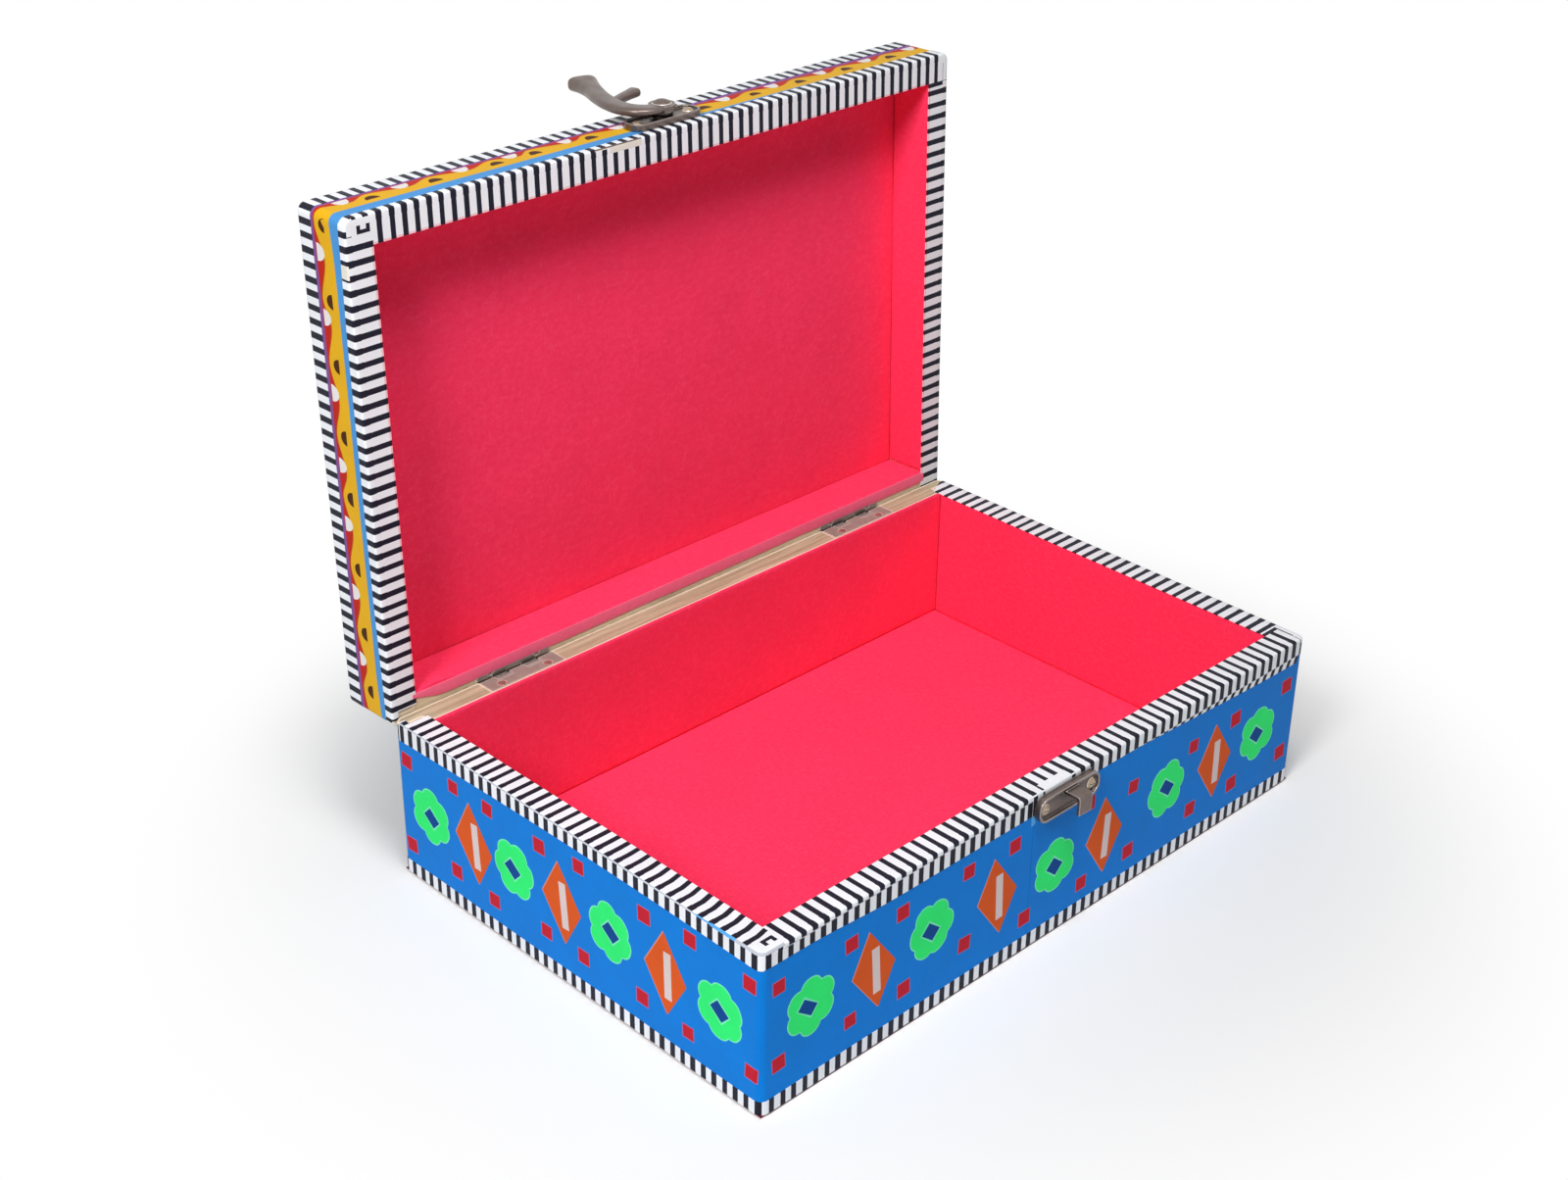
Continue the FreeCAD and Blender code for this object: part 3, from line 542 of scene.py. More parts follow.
def flat_section(insets, crown, thick):
    """Loop of a flat run that lies on a rim."""
    return [(inset, crown) for inset in insets] + [(inset, crown - thick) for inset in insets[::-1]]


def loop_place(free_edge=None, sag=None):
    """Places a section's point on the outline; the free edge follows the sag."""
    def place(s, point):
        inset, height = point
        if sag and abs(height - free_edge) < SAME:
            height += sag(s)
        return outline_point(s, inset, height)
    return place


def side_place(side, bend=None):
    """Places a section's point on a flat side; bend moves a place along the side by its inset."""
    outward, tangent, reach, _ = SIDES[side]

    def place(t, point):
        inset, height = point
        along = bend(t, inset) if bend else t
        return outward * (reach - inset) + tangent * along + UP * height
    return place


def foot_tape():
    """Striped band round the foot, joined at the middle of the back."""
    stripes = Stripes(FOOT_SEED, *ALL_ROUND, FOOT_PHASE)
    solid = Solid()

    def sag(s):
        return wobble(s, 0.35 * MM, 40 * MM, 3.1)
    section = band_section(foot_low.z, foot_high.z)
    solid.sweep(stripes.turned(), section, loop_place(foot_high.z, sag), stripes.colour)
    tape_piece(solid, "base_foot_tape")


# Wear of the rim tapes, with painted shade along some folds and a painted shadow below the strike plate:
# places along a side, from its middle
WORN_FROM, BLANK_FROM, BLANK_TO, WORN_TO = mm(-14, -8.5, 4, 8)
PLATE_SHADOW_FROM, PLATE_SHADOW_TO = mm(-12, 13.5)
LIFT_FROM, LIFT_MIDDLE, LIFT_TO = mm(-34, -28, -15)
TORN_FROM, TORN_TO = mm(65.5, 69.8)
SLIVER_FROM, SLIVER_WIDENS, SLIVER_TO, LINE_FROM = mm(57, 63, 73, -118)
LEFT_RUN_END, RUN_END_LIGHT = HALF_Y - 5.3 * MM, 0.5 * MM

# Rows of the fold: 0 the drop, 1 the line over it, 2 the hem, 3 to 6 the bend, 7 the flange
DROP_ROWS, LINE_ROWS, FOLD_ROWS = range(0, 2), range(1, 2), range(2, 8)
ARC, RIDGE, TOP_ROW = range(3, 7), range(4, 6), 7
TORN_ROWS, CORNER_ROWS, LIFT_ROWS = range(0, 6), range(5, 7), range(6, 7)

# From a place on a side to a place on a side, rows, colour
CORNER_WEAR = [
    ("left", LEFT_RUN_END, "front", RIM - HALF_X, [TOP_ROW], LIGHT),
    ("front", HALF_X - CORNER, "right", RIM - HALF_Y, FOLD_ROWS, LIGHT),
]
BASE_WEAR_AND_SHADE = [
    ("front", BLANK_FROM, "front", BLANK_TO, FOLD_ROWS, LIGHT),
    ("front", WORN_FROM, "front", BLANK_FROM, RIDGE, LIGHT),
    ("front", BLANK_TO, "front", WORN_TO, RIDGE, LIGHT),
    # painted shadow: grey on the drop below the strike plate
    ("front", PLATE_SHADOW_FROM, "front", PLATE_SHADOW_TO, DROP_ROWS, PAINTED_SHADE),
    # painted shade: grey along the fold of the left side and over the front's hem; the sliver rows between
    # are light blue film
    ("left", -HALF_Y, "left", SLIVER_FROM, RIDGE, PAINTED_SHADE),
    ("left", SLIVER_FROM, "left", SLIVER_WIDENS, RIDGE, SLIVER),
    ("left", SLIVER_WIDENS, "left", SLIVER_TO, ARC, SLIVER),
    ("left", SLIVER_TO, "front", LINE_FROM, ARC, PAINTED_SHADE),
    ("front", LINE_FROM, "front", WORN_FROM, LINE_ROWS, PAINTED_SHADE),
] + CORNER_WEAR
LID_WEAR = [
    ("left", TORN_FROM, "left", TORN_TO, TORN_ROWS, CORE),
    ("front", LIFT_FROM, "front", LIFT_TO, RIDGE, GLUE),
    ("front", LIFT_FROM, "front", LIFT_MIDDLE, LIFT_ROWS, CORE),
    ("front", LIFT_MIDDLE, "front", LIFT_TO, [*LIFT_ROWS, TOP_ROW], CORE),
    ("left", HALF_Y - CORNER, "front", CORNER - HALF_X, CORNER_ROWS, LIGHT),
] + CORNER_WEAR

ARCH, ARCH_DROP, ARCH_TAIL = mm(1.3, 0.3, 0.8)
RIGHT_FROM, RIGHT_RISE, RIGHT_FALL = mm(14, 0.8, 1.2)
LEFT_FROM, LEFT_EASE, LEFT_FALL = mm(15, 40, 1.7)
LID_DROP, LID_RISE, RISE_FROM, RISE_RUN = 1.2 * MM, 3.1 * MM, -0.5 * HALF_X, 1.3 * HALF_X
LID_END_SHARE, LID_FRONT_END, LID_BACK_END = 0.3, 1.0 * MM, 0.6 * MM
SLIP, SLIP_EASE = mm(1.4, 25)


def base_sag(s):
    """Lower edge of the base's rim tape: an arch on the left, low left and high right of the strike."""
    share, x = left_share(s), front_x(s)
    if 0 < share < 1:
        return ARCH * math.sin(math.pi * share) - ARCH_DROP - ARCH_TAIL * (1 - share) ** 2
    if RIGHT_FROM < x < HALF_X:
        return RIGHT_RISE - RIGHT_FALL * smooth((x - RIGHT_FROM) / (HALF_X - RIGHT_FROM))
    fall = LEFT_FALL * smooth((x + HALF_X - LEFT_FROM) / LEFT_EASE) if abs(x) < HALF_X else 0.0
    return wobble(s, 0.25 * MM, 30 * MM, 7.7) - fall


def lid_sag(s):
    """Free edge of the lid's rim tape: more of the sky line shows at the front's left than at its right."""
    share, x = left_share(s), front_x(s)
    if -HALF_X < x < HALF_X:
        return -LID_DROP + LID_RISE * smooth((x - RISE_FROM) / RISE_RUN)
    if 0 < share < 1:
        near, far = smooth((share - 1) / LID_END_SHARE + 1), smooth(1 - share / LID_END_SHARE)
        return -LID_FRONT_END * near - LID_BACK_END * far
    return 0.0


def front_slip(s):
    """How far the stripes below the hem of the base's front lag behind those above, left of the strike."""
    x = front_x(s)
    if not CORNER - HALF_X < x < WORN_FROM:
        return 0.0
    return SLIP * smooth((x + HALF_X - CORNER) / SLIP_EASE)


BLUSH_DEPTH, WORN_REACH, CORNER_BAR = mm(0.7, 3.4, 1.5)
LEAN, LEAN_INSET, LEAN_FROM, LEAN_EASE = mm(0.8, 5.6, 5, 50)
MITRE, SQUEEZE = 0.5, 0.02
FLAT_INSETS = [FLANGE, WORN_REACH, LEAN_INSET, (LEAN_INSET + RIM) / 2, RIM - BLUSH_DEPTH, RIM]
BLUSH_ROW = len(FLAT_INSETS) - 2
FLAT_RUNS = {
    "left": (BARE - HALF_Y, LEFT_RUN_END),
    "front": (RIM - HALF_X, HALF_X - FLANGE),
    "right": (RIM - HALF_Y, TAPE_END),
}


def lean_left(t, inset):
    """Stripes on the base's left rim lean backwards near the felt."""
    lean = LEAN * smooth((inset - LEAN_INSET) / (RIM - LEAN_INSET)) * smooth((t - LEAN_FROM) / LEAN_EASE)
    return t - lean * (t < LEFT_RUN_END - STEP)


def mitre_right(t, inset):
    """The run on the base's right rim ends in a slant."""
    limit = TAPE_END - MITRE * (inset - FLANGE)
    return t if t < limit else limit + SQUEEZE * (t - limit)


def rim_tape(body, seed, phase, edge, crown, sign, sag, wear_and_shade, slip, lag, bends):
    """Striped tape folded over a rim on three sides, with flat runs that meet at the corners."""
    start, end = loop_at("left", -TAPE_END), loop_at("right", TAPE_END)
    stripes = Stripes(seed, start, end, phase, DARK_SHARE, lag)
    flats = Stripes(seed, start, end, phase, RIM_DARK_SHARE, lag)
    # worn places and places of painted shade, each with its rows and colour
    worn = [(loop_at(side, low), loop_at(last, high), rows, colour)
            for side, low, last, high, rows, colour in wear_and_shade]
    blush = BLUSH_ROW if body == "lid" else None
    solid = Solid()

    def paint(s, row):
        for low, high, rows, colour in worn:
            if low < s < high and row in rows:
                return colour
        return stripes.colour(s + slip(s) if row == 0 else s)
    marks = [mark for low, high, _, _ in worn for mark in (low, high) if start < mark < end]
    marks += [s - slip(s) for s in stripes.stations()[1:-1] if slip(s)]
    solid.sweep(stripes.turned(marks), fold_section(edge, crown, sign), loop_place(edge, sag), paint)

    def flat_run(side, low, high):
        """The tape's flat run on one side of the rim."""
        middle = loop_at(side, 0)
        bar = low + CORNER_BAR if side == "right" else low - STEP
        felt_end = (HALF_X if side == "front" else HALF_Y) - RIM

        def flat_paint(t, row):
            s = middle + t
            if s < bar:
                return DARK
            if side == "left" and t > LEFT_RUN_END - RUN_END_LIGHT:
                return LIGHT
            bare = row == 0 and any(a < s < b and TOP_ROW in rows and c == LIGHT for a, b, rows, c in worn)
            colour = LIGHT if bare else flats.colour(s)
            return BLUSH if row == blush and colour == LIGHT and abs(t) < felt_end else colour
        cuts = {*flats.stations(low, high), *[mark for mark in [*marks, bar] if low < mark < high]}
        section = flat_section(FLAT_INSETS, crown, TAPE * sign)
        place = side_place(side, bends.get(side))
        solid.sweep([s - middle for s in sorted(cuts)], section, place, flat_paint)
    for side, (low, high) in FLAT_RUNS.items():
        flat_run(side, loop_at(side, low), loop_at(side, high))
    fragment(solid, crown, TAPE * sign)
    if body == "base":
        under_strip(solid, edge, sag)
    tape_piece(solid, body + "_rim_tape")


STRIP_FROM, STRIP_DROP, STRIP_SHIFT, STRIP_SHEAR = mm(25, 2.7, 1.7, 1.1)
STRIP_FACE, STRIP_BACK, STRIP_LAP, STRIP_LEAST = mm(0.05, 0.2, 0.3, 0.05)


def under_strip(solid, edge, sag):
    """The edge of an older strip that shows under the base's rim tape at the front's right end."""
    start, end = loop_at("front", STRIP_FROM), loop_at("front", HALF_X - CORNER)
    stripes = Stripes(STRIP_SEED, start, end, RIM_PHASE + STRIP_SHIFT)
    section = [(STRIP_FACE, 1), (STRIP_FACE, 0), (STRIP_BACK, 0), (STRIP_BACK, 1)]

    def place(s, point):
        inset, top = point
        drop = STRIP_DROP * smooth((s - start) / (end - start)) + STRIP_LEAST
        height = edge + sag(s) + (STRIP_LAP if top else -drop)
        return outline_point(min(s + top * STRIP_SHEAR, end), inset, height)
    solid.sweep(stripes.stations(start, end - STRIP_SHEAR), section, place, stripes.colour)


# Cuts from the box's left side and insets from its front, in millimetres
BRACKET_CUTS, BRACKET_INSETS = (2.4, 4.2, 5.5, 7.5, 8.8), (2.7, 4.1)


def fragment(solid, crown, flat):
    """The cut end of the front run at the left corner: a light square in a dark bracket."""
    cuts = [offset - HALF_X for offset in (*mm(*BRACKET_CUTS), RIM)]
    insets = [FLANGE, *mm(*BRACKET_INSETS), HALF_Y - LEFT_RUN_END]

    def bracket(t, row):
        arm = cuts[1] < t < cuts[2] or cuts[3] < t < cuts[4]
        return DARK if row == 1 and arm or row == 2 and cuts[1] < t < cuts[4] else LIGHT
    solid.sweep(cuts, flat_section(insets, crown, flat), side_place("front"), bracket)


HINGE_SPANS = [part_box("hinge_%s_base_leaf" % hand) for hand in ("left", "right")]


def rear_tape(node, low, high, seed, free_edge, notch):
    """Striped band across the back, under or over the parting line, cut out round the hinges."""
    stripes = Stripes(seed, loop_at("right", TAPE_END), loop_at("left", -TAPE_END) + LOOP, RIM_PHASE)
    middle = loop_at("back", 0)
    spans = [(middle - right.x - HINGE_ROOM, middle - left.x + HINGE_ROOM) for left, right in HINGE_SPANS]
    steps = [edge + side for span in spans for edge in span for side in (-STEP, STEP)]

    def cut(s):
        return notch - free_edge if any(a < s < b for a, b in spans) else 0.0
    solid = Solid()
    solid.sweep(stripes.turned(steps), band_section(low, high), loop_place(free_edge, cut), stripes.colour)
    tape_piece(solid, node)


def top_tape():
    """Striped tape folded over the lid's top edges, with a mitre-free frame of flat runs on the lid."""
    crown = lid_top_high.z
    stripes = Stripes(TOP_SEED, *ALL_ROUND, TOP_PHASE)
    solid = Solid()
    section = fold_section(lid_top_low.z + TOP_TAPE_SAG, crown, 1)
    solid.sweep(stripes.turned(), section, loop_place(), stripes.colour)
    reach = HALF_Y + top_low.y
    long, short = HALF_X - FLANGE, HALF_Y - reach
    for side, half in (("front", long), ("back", long), ("left", short), ("right", short)):
        middle = loop_at(side, 0)
        runs = Stripes(TOP_SEED, middle - half, middle + half, TOP_PHASE)
        solid.sweep([s - middle for s in runs.stations()], flat_section([FLANGE, reach], crown, TAPE),
                    side_place(side), lambda t, row, runs=runs, middle=middle: runs.colour(middle + t))
    tape_piece(solid, "lid_top_tape")


# Cut-film patterns on the base and the lid

LAYER, FILM_CREASE = 0.02 * MM, 25
FLOWER_SIZE, FLOWER_STEPS, FLOWER_EDGE = (18.5 * MM, 19.1 * MM), 72, 0.45 * MM
PETALS, PETAL_SIZES, NOTCH, NOTCH_POWER = 6, (0.95, 1.05), 0.15, 1.4
EYE_SIZE, EYE_RIM, EYE_SLANTS = (3.9 * MM, 3.5 * MM), 0.55 * MM, (0.6, 1.4)
EYE_DRIFT_U, EYE_DRIFT_V = (-1.3, 0.4), (-0.6, 0.8)
RHOMBUS_SIZE, RHOMBUS_EDGE, RHOMBUS_SHIFT = (8.9 * MM, 14.4 * MM), 0.12 * MM, (-0.25 * MM, 0.15 * MM)
BAR_WIDTH, BAR_SHARE, BAR_SHIFT = 3.1 * MM, 1.15, Vector((0.9 * MM, -0.6 * MM))
SQUARE_SIZES, SQUARE_SKEW, SQUARE_EDGE, SQUARE_STRIPS = (4.3, 5.0), 0.07, 0.25 * MM, 12
SLANT_SIDE, SLANT_TIP = 0.3, 1.6
PATTERN_SEED, MARK_SEED = 5, 17
DRAW = random.Random(PATTERN_SEED)


def flower_outline(petals, turn, grow):
    """Six rounded petals with soft notches between them."""
    points = []
    for k in range(FLOWER_STEPS):
        angle = 2 * math.pi * k / FLOWER_STEPS
        nearest = round((angle - turn) * PETALS / 2 / math.pi) % PETALS
        swell = abs(math.cos(PETALS / 2 * (angle - turn)))
        radius = petals[nearest] ** swell * (1 - NOTCH * (1 - swell) ** NOTCH_POWER)
        wide, tall = [radius * length / 2 + grow for length in FLOWER_SIZE]
        points.append((math.cos(angle) * wide, math.sin(angle) * tall))
    return points


def slanted(size, lean, grow=0.0):
    """Four points of a leaning rhombus: right, top, left, bottom."""
    wide, tall = size[0] + grow, size[1] + grow * SLANT_TIP
    return [(wide, -lean * SLANT_SIDE), (-lean, tall), (-wide, lean * SLANT_SIDE), (lean, -tall)]


def bar_outline(width, length, tilt):
    """A thin upright bar, turned a little."""
    wide, tall = width / 2, length / 2
    turn = Matrix.Rotation(tilt, 2)
    corners = [(wide, -tall), (wide, tall), (-wide, tall), (-wide, -tall)]
    return [tuple(turn @ Vector(corner) + BAR_SHIFT) for corner in corners]


def moved(outline, shift):
    """An outline moved sideways and up."""
    return [(u + shift[0], v + shift[1]) for u, v in outline]


def layer_span(level):
    """Bottom and top of a layer of cut film, counted from the wood."""
    return FILM + (level - 0.5) * LAYER, FILM + (level + 1) * LAYER


class Pattern:
    """Layers of cut film on one body, gathered by colour."""

    def __init__(self, body, prefix):
        self.body = body
        self.prefix = prefix
        self.layers = {}

    def layer(self, name, material):
        """The solid that gathers a layer."""
        return self.layers.setdefault(name, (Solid(), material))[0]

    def lay(self, name, outline, put, level, material):
        """One cut-out of a layer."""
        self.layer(name, material).plate(outline, put, *layer_span(level))

    def flower(self, put, turn):
        """A green flower with a pale edge and a blue eye."""
        petals = [DRAW.uniform(*PETAL_SIZES) for _ in range(PETALS)]
        self.lay("flower_petals", flower_outline(petals, math.radians(turn), 0.0), put, 1, GREEN)
        self.lay("flower_edges", flower_outline(petals, math.radians(turn), FLOWER_EDGE), put, 0, MINT)
        drift = Vector((DRAW.uniform(*EYE_DRIFT_U), DRAW.uniform(*EYE_DRIFT_V))) * MM
        slant = DRAW.uniform(*EYE_SLANTS) * MM
        for name, grow, level, material in (
                ("flower_eye_rims", EYE_RIM, 2, MINT), ("flower_eyes", 0, 3, NAVY)):
            self.lay(name, moved(slanted(EYE_SIZE, slant, grow), drift), put, level, material)

    def rhombus(self, put, lean, tilt):
        """An orange rhombus with a pale edge and a pale bar."""
        edge = moved(slanted(RHOMBUS_SIZE, lean, RHOMBUS_EDGE), RHOMBUS_SHIFT)
        bar = bar_outline(BAR_WIDTH, BAR_SHARE * RHOMBUS_SIZE[1], math.radians(tilt))
        self.lay("rhombus_edges", edge, put, 0, PEACH)
        self.lay("rhombi", slanted(RHOMBUS_SIZE, lean), put, 1, ORANGE)
        self.lay("rhombus_bars", bar, put, 2, CREAM)

    def square(self, put):
        """A red square with a pink rim, in upright strips so that it can follow a rounded corner."""
        size = DRAW.uniform(*SQUARE_SIZES) * MM
        skew = DRAW.uniform(-SQUARE_SKEW, SQUARE_SKEW)

        def place(u, point):
            return put(u + skew * point[0], point[0] - skew * u, point[1])
        for name, grow, level, material in (("square_edges", SQUARE_EDGE, 0, PINK), ("squares", 0, 1, RED)):
            half = size / 2 + grow
            low, high = layer_span(level)
            strips = [half * (2 * k / SQUARE_STRIPS - 1) for k in range(SQUARE_STRIPS + 1)]
            section = [(-half, low), (half, low), (half, high), (-half, high)]
            self.layer(name, material).sweep(strips, section, place)

    def finish(self):
        """One piece for each layer."""
        for name, (solid, material) in self.layers.items():
            solid.piece(self.prefix + name, self.body, [material], "printed_sheet", crease=FILM_CREASE)


# Places of the hand-laid cut-outs in millimetres: along the side from its middle, and up from the floor.
# A flower's turn in degrees follows, or a rhombus's lean in millimetres and its bar's tilt in degrees.
FLOWERS = {
    "front": [(-107.5, 30.0, 90), (-57.5, 30.5, 60), (-0.9, 26.1, 90), (54.5, 29.2, 70), (104.6, 28.8, 85)],
    "left": [(-66.7, 28.9, 90), (-25.1, 30.1, 65), (19.7, 30.7, 100), (67.0, 28.9, 85)],
}
RHOMBI = {
    "front": [(-81.8, 28.8, 2.2, 4), (-28.0, 27.8, 1.9, 3), (23.3, 25.8, 0.7, -2), (80.7, 28.1, 0.8, 2)],
    "left": [(-44.8, 29.3, 1.6, 3), (-2.3, 29.5, 1.2, 4), (44.1, 29.4, 0.6, 1)],
}
SQUARES = {
    "front": [
        (-120.1, 43.3), (-91.4, 42.9), (-70.3, 43.2), (-41.8, 43.5), (-21.0, 42.8),
        (14.4, 41.6), (36.6, 38.1), (67.8, 39.5), (90.5, 40.2), (119.1, 41.2),
        (-120.0, 16.5), (-91.3, 15.6), (-68.8, 14.9), (-42.3, 17.4), (-14.4, 12.8),
        (13.1, 12.3), (36.6, 13.3), (69.2, 14.4), (92.0, 14.1), (119.8, 14.5)],
    "left": [
        (-78.0, 44.5), (-54.1, 46.0), (-37.1, 46.2), (-12.2, 45.2),
        (6.1, 47.1), (35.1, 45.1), (54.6, 47.2), (78.9, 45.3),
        (-78.3, 12.4), (-54.7, 14.2), (-35.7, 12.9), (-10.2, 14.9),
        (7.2, 14.7), (33.7, 14.9), (53.5, 13.6), (79.7, 14.5)],
}
SEAM_TAB = (-13.2, 49.3)
TAB_OUTLINE = [(1.0, -2.6), (0.9, 3.0), (-1.0, 3.0), (-0.8, -3.1)]


def side_put(side, t, height):
    """Places a cut-out's points round a middle on a side; levels count from the wood."""
    middle = loop_at(side, t * MM)

    def put(u, v, level):
        return outline_point(middle + u, SKIN - level, height * MM + v)
    return put


def base_pattern():
    """Flowers, rhombi and squares round the base; the far sides repeat the near ones in mirror image."""
    pattern = Pattern("base", "base_")
    for side, (near, hand) in PATTERN_OF.items():
        for t, height, turn in FLOWERS[near]:
            pattern.flower(side_put(side, hand * t, height), turn)
        for t, height, lean, tilt in RHOMBI[near]:
            pattern.rhombus(side_put(side, hand * t, height), hand * lean * MM, hand * tilt)
        for t, height in SQUARES[near]:
            pattern.square(side_put(side, hand * t, height))
    tab = [mm(u, v) for u, v in TAB_OUTLINE]
    pattern.lay("seam_tab", tab, side_put("front", *SEAM_TAB), 0, BLUE_TAB)
    pattern.finish()


def seam(hand):
    """Where the two blue sheets meet on the front (-1) or the back (1)."""
    return max(v.co.x for v in NODES["base_left_sheet"].data.vertices if hand * v.co.y > HALF_Y / 2)


def base_sheets():
    """Blue film in two lengths that meet in seams at the front and back."""
    front, back = loop_at("front", seam(-1)), loop_at("back", -seam(1))
    section = band_section(sheet_low.z - UNDERLAP, sheet_high.z + UNDERLAP, FILM - SKIN, FILM)
    for side, start, end in (("left", back - LOOP, front), ("right", front + SEAM_GAP, back - SEAM_GAP)):
        solid = Solid()
        solid.sweep(sorted({start, end, *bend_stations(start, end)}), section, loop_place())
        solid.piece("base_%s_film" % side, "base", [BLUE], "printed_sheet", nodes=["base_%s_sheet" % side])


# Painted bands round the lid: places in millimetres from the middle of a side

BAND_DOTS = {
    "left": (-63.6, -39.9, -16.4, 3.2, 26.8, 50.7, 70.8),
    "front": (-117.8, -96.8, -74.7, -55.9, -34.3, -13.1, 10.0, 32.2, 54.3, 77.1, 99.0, 121.0),
}
BAND_DROPS = {
    "left": (-74.2, -53.5, -31.0, -7.0, 13.2, 36.2, 56.4, 79.5),
    "front": (-109.1, -86.3, -63.3, -48.4, -26.1, -2.0, 21.2, 43.7, 64.7, 86.8, 108.6),
}
TROUGH_SHIFT = 2.2
BAND_TROUGHS = {
    "left": [t - TROUGH_SHIFT for t in BAND_DOTS["left"]],
    "front": [t + TROUGH_SHIFT for t in BAND_DOTS["front"]],
}
BAND_FOOT, BAND_TOP, BAND_STEP = band_low.z, band_high.z, 1.2 * MM
BAND_COLOURS = [SKY, YELLOW, AMBER, SCARLET, PURPLE]
SKY_RISE, TROUGH_RISE, CREST_RISE, DROP_RISE = mm(2.1, 7.0, 10.1, 6.4)
LINE_DROP, DOT_DROP, EDGE_LINE = mm(2.9, 1.9, 0.35)
BAND_LIFT, WAVE_SHARE, LINE_SHARE = 1.5 * MM, 0.65, 0.5
LIFT_HALF, LIFT_LEFT, LIFT_END = 40 * MM, 0.4, 0.1
ROUND_STEPS, ROUND_SEAT = 14, 0.4
# Name, places, widths and heights in millimetres, flat side, share of the lift, height, colour
BAND_MARKS = (
    ("dots", BAND_DOTS, (4.6, 5.6), (3.2, 3.9), 1, LINE_SHARE, BAND_TOP - LINE_DROP - DOT_DROP, WHITE),
    ("drops", BAND_DROPS, (4.3, 5.0), (2.6, 3.2), -1, WAVE_SHARE, BAND_FOOT + DROP_RISE, BROWN),
)


def wave_knots():
    """Crests and troughs of the wave, in order round the outline, with one more past each end."""
    knots = sorted((loop_at(side, hand * t * MM), rise) for side, (near, hand) in PATTERN_OF.items()
                   for places, rise in ((BAND_DROPS, CREST_RISE), (BAND_TROUGHS, TROUGH_RISE))
                   for t in places[near])
    first, last = knots[0], knots[-1]
    return [(last[0] - LOOP, last[1])] + knots + [(first[0] + LOOP, first[1])]


def wave_height(s, knots):
    """Height of the yellow wave above the band's foot: smooth from each knot to the next."""
    s = (s - knots[1][0]) % LOOP + knots[1][0]
    for (low, start), (high, end) in zip(knots, knots[1:]):
        if low <= s <= high:
            return start + (end - start) * smooth((s - low) / (high - low))
    return TROUGH_RISE


def band_lift(s):
    """How far the bands were set too high: most at the left end of the front, less along the left side."""
    share, x = left_share(s), front_x(s)
    if -HALF_X < x < HALF_X:
        return BAND_LIFT * (1 - smooth((x + LIFT_HALF) / (2 * LIFT_HALF)))
    if 0 < share < 1:
        by_front = smooth((share - 1) / LIFT_END + 1)
        return BAND_LIFT * (LIFT_LEFT + (1 - LIFT_LEFT) * by_front) * smooth(share / LIFT_END)
    return 0.0


def lid_bands():
    """Sky line, yellow wave with its amber edge, red ground and purple line, in one strip round the lid."""
    knots = wave_knots()
    start, end = ALL_ROUND
    count = int(LOOP / BAND_STEP)
    even = [start + (end - start) * k / count for k in range(count + 1)]
    out = FILM - SKIN
    rows = ("foot", "sky", "wave", "edge", "line", "top")
    section = [(-out, row) for row in rows] + [(-out + FILM, row) for row in rows[::-1]]
    order = [0, 1, 2, 3, 4, 4, 4, 3, 2, 1, 0, 0]

    def place(s, point):
        inset, row = point
        lift = band_lift(s)
        sky = BAND_FOOT + SKY_RISE + lift + wobble(s, 0.2 * MM, 25 * MM, 2.2)
        wave = BAND_FOOT + wave_height(s, knots) + lift * WAVE_SHARE
        line = BAND_TOP - LINE_DROP + lift * LINE_SHARE + wobble(s, 0.2 * MM, 20 * MM, 9.2)
        heights = {"foot": BAND_FOOT - 2 * UNDERLAP, "sky": sky, "wave": wave,
                   "edge": min(wave + EDGE_LINE, line - STEP), "line": line, "top": BAND_TOP}
        return outline_point(s, inset, heights[row])
    solid = Solid()
    solid.sweep(sorted({*even, *bend_stations(start, end)}), section, place, lambda s, row: order[row])
    solid.piece("lid_band_film", "lid", BAND_COLOURS, "painted_band", nodes=["lid_side_band"])


def half_round(width, height, hand):
    """A half disc with its flat side up or down."""
    angles = [math.pi * k / ROUND_STEPS for k in range(ROUND_STEPS + 1)]
    return [(math.cos(a) * width / 2, hand * height * (ROUND_SEAT - math.sin(a))) for a in angles]


def band_marks():
    """White half-dots in the troughs and brown half-moon drops in the crests."""
    draw = random.Random(MARK_SEED)
    solids = [Solid() for _ in BAND_MARKS]
    for side, (near, hand) in PATTERN_OF.items():
        for solid, (_, places, widths, heights, flat, share, rise, _) in zip(solids, BAND_MARKS):
            for t in places[near]:
                outline = half_round(draw.uniform(*widths) * MM, draw.uniform(*heights) * MM, flat)
                lift = band_lift(loop_at(side, hand * t * MM)) * share
                put = side_put(side, hand * t, (rise + lift) / MM)
                solid.plate(outline, put, FILM - LAYER, FILM + 2 * LAYER)
    for solid, mark in zip(solids, BAND_MARKS):
        solid.piece("lid_band_" + mark[0], "lid", [mark[-1]], "painted_band", crease=FILM_CREASE)


# Blue sheet on the lid's top

TOP_COLUMNS, TOP_ROWS, TOP_MARGIN = 7, 3, 6 * MM
MOTIF_DRIFT, SQUARE_DRIFT = 1, 0.8
TOP_TURNS, TOP_LEANS, TOP_TILTS = (60, 100), (0.4, 2), (-2, 4)


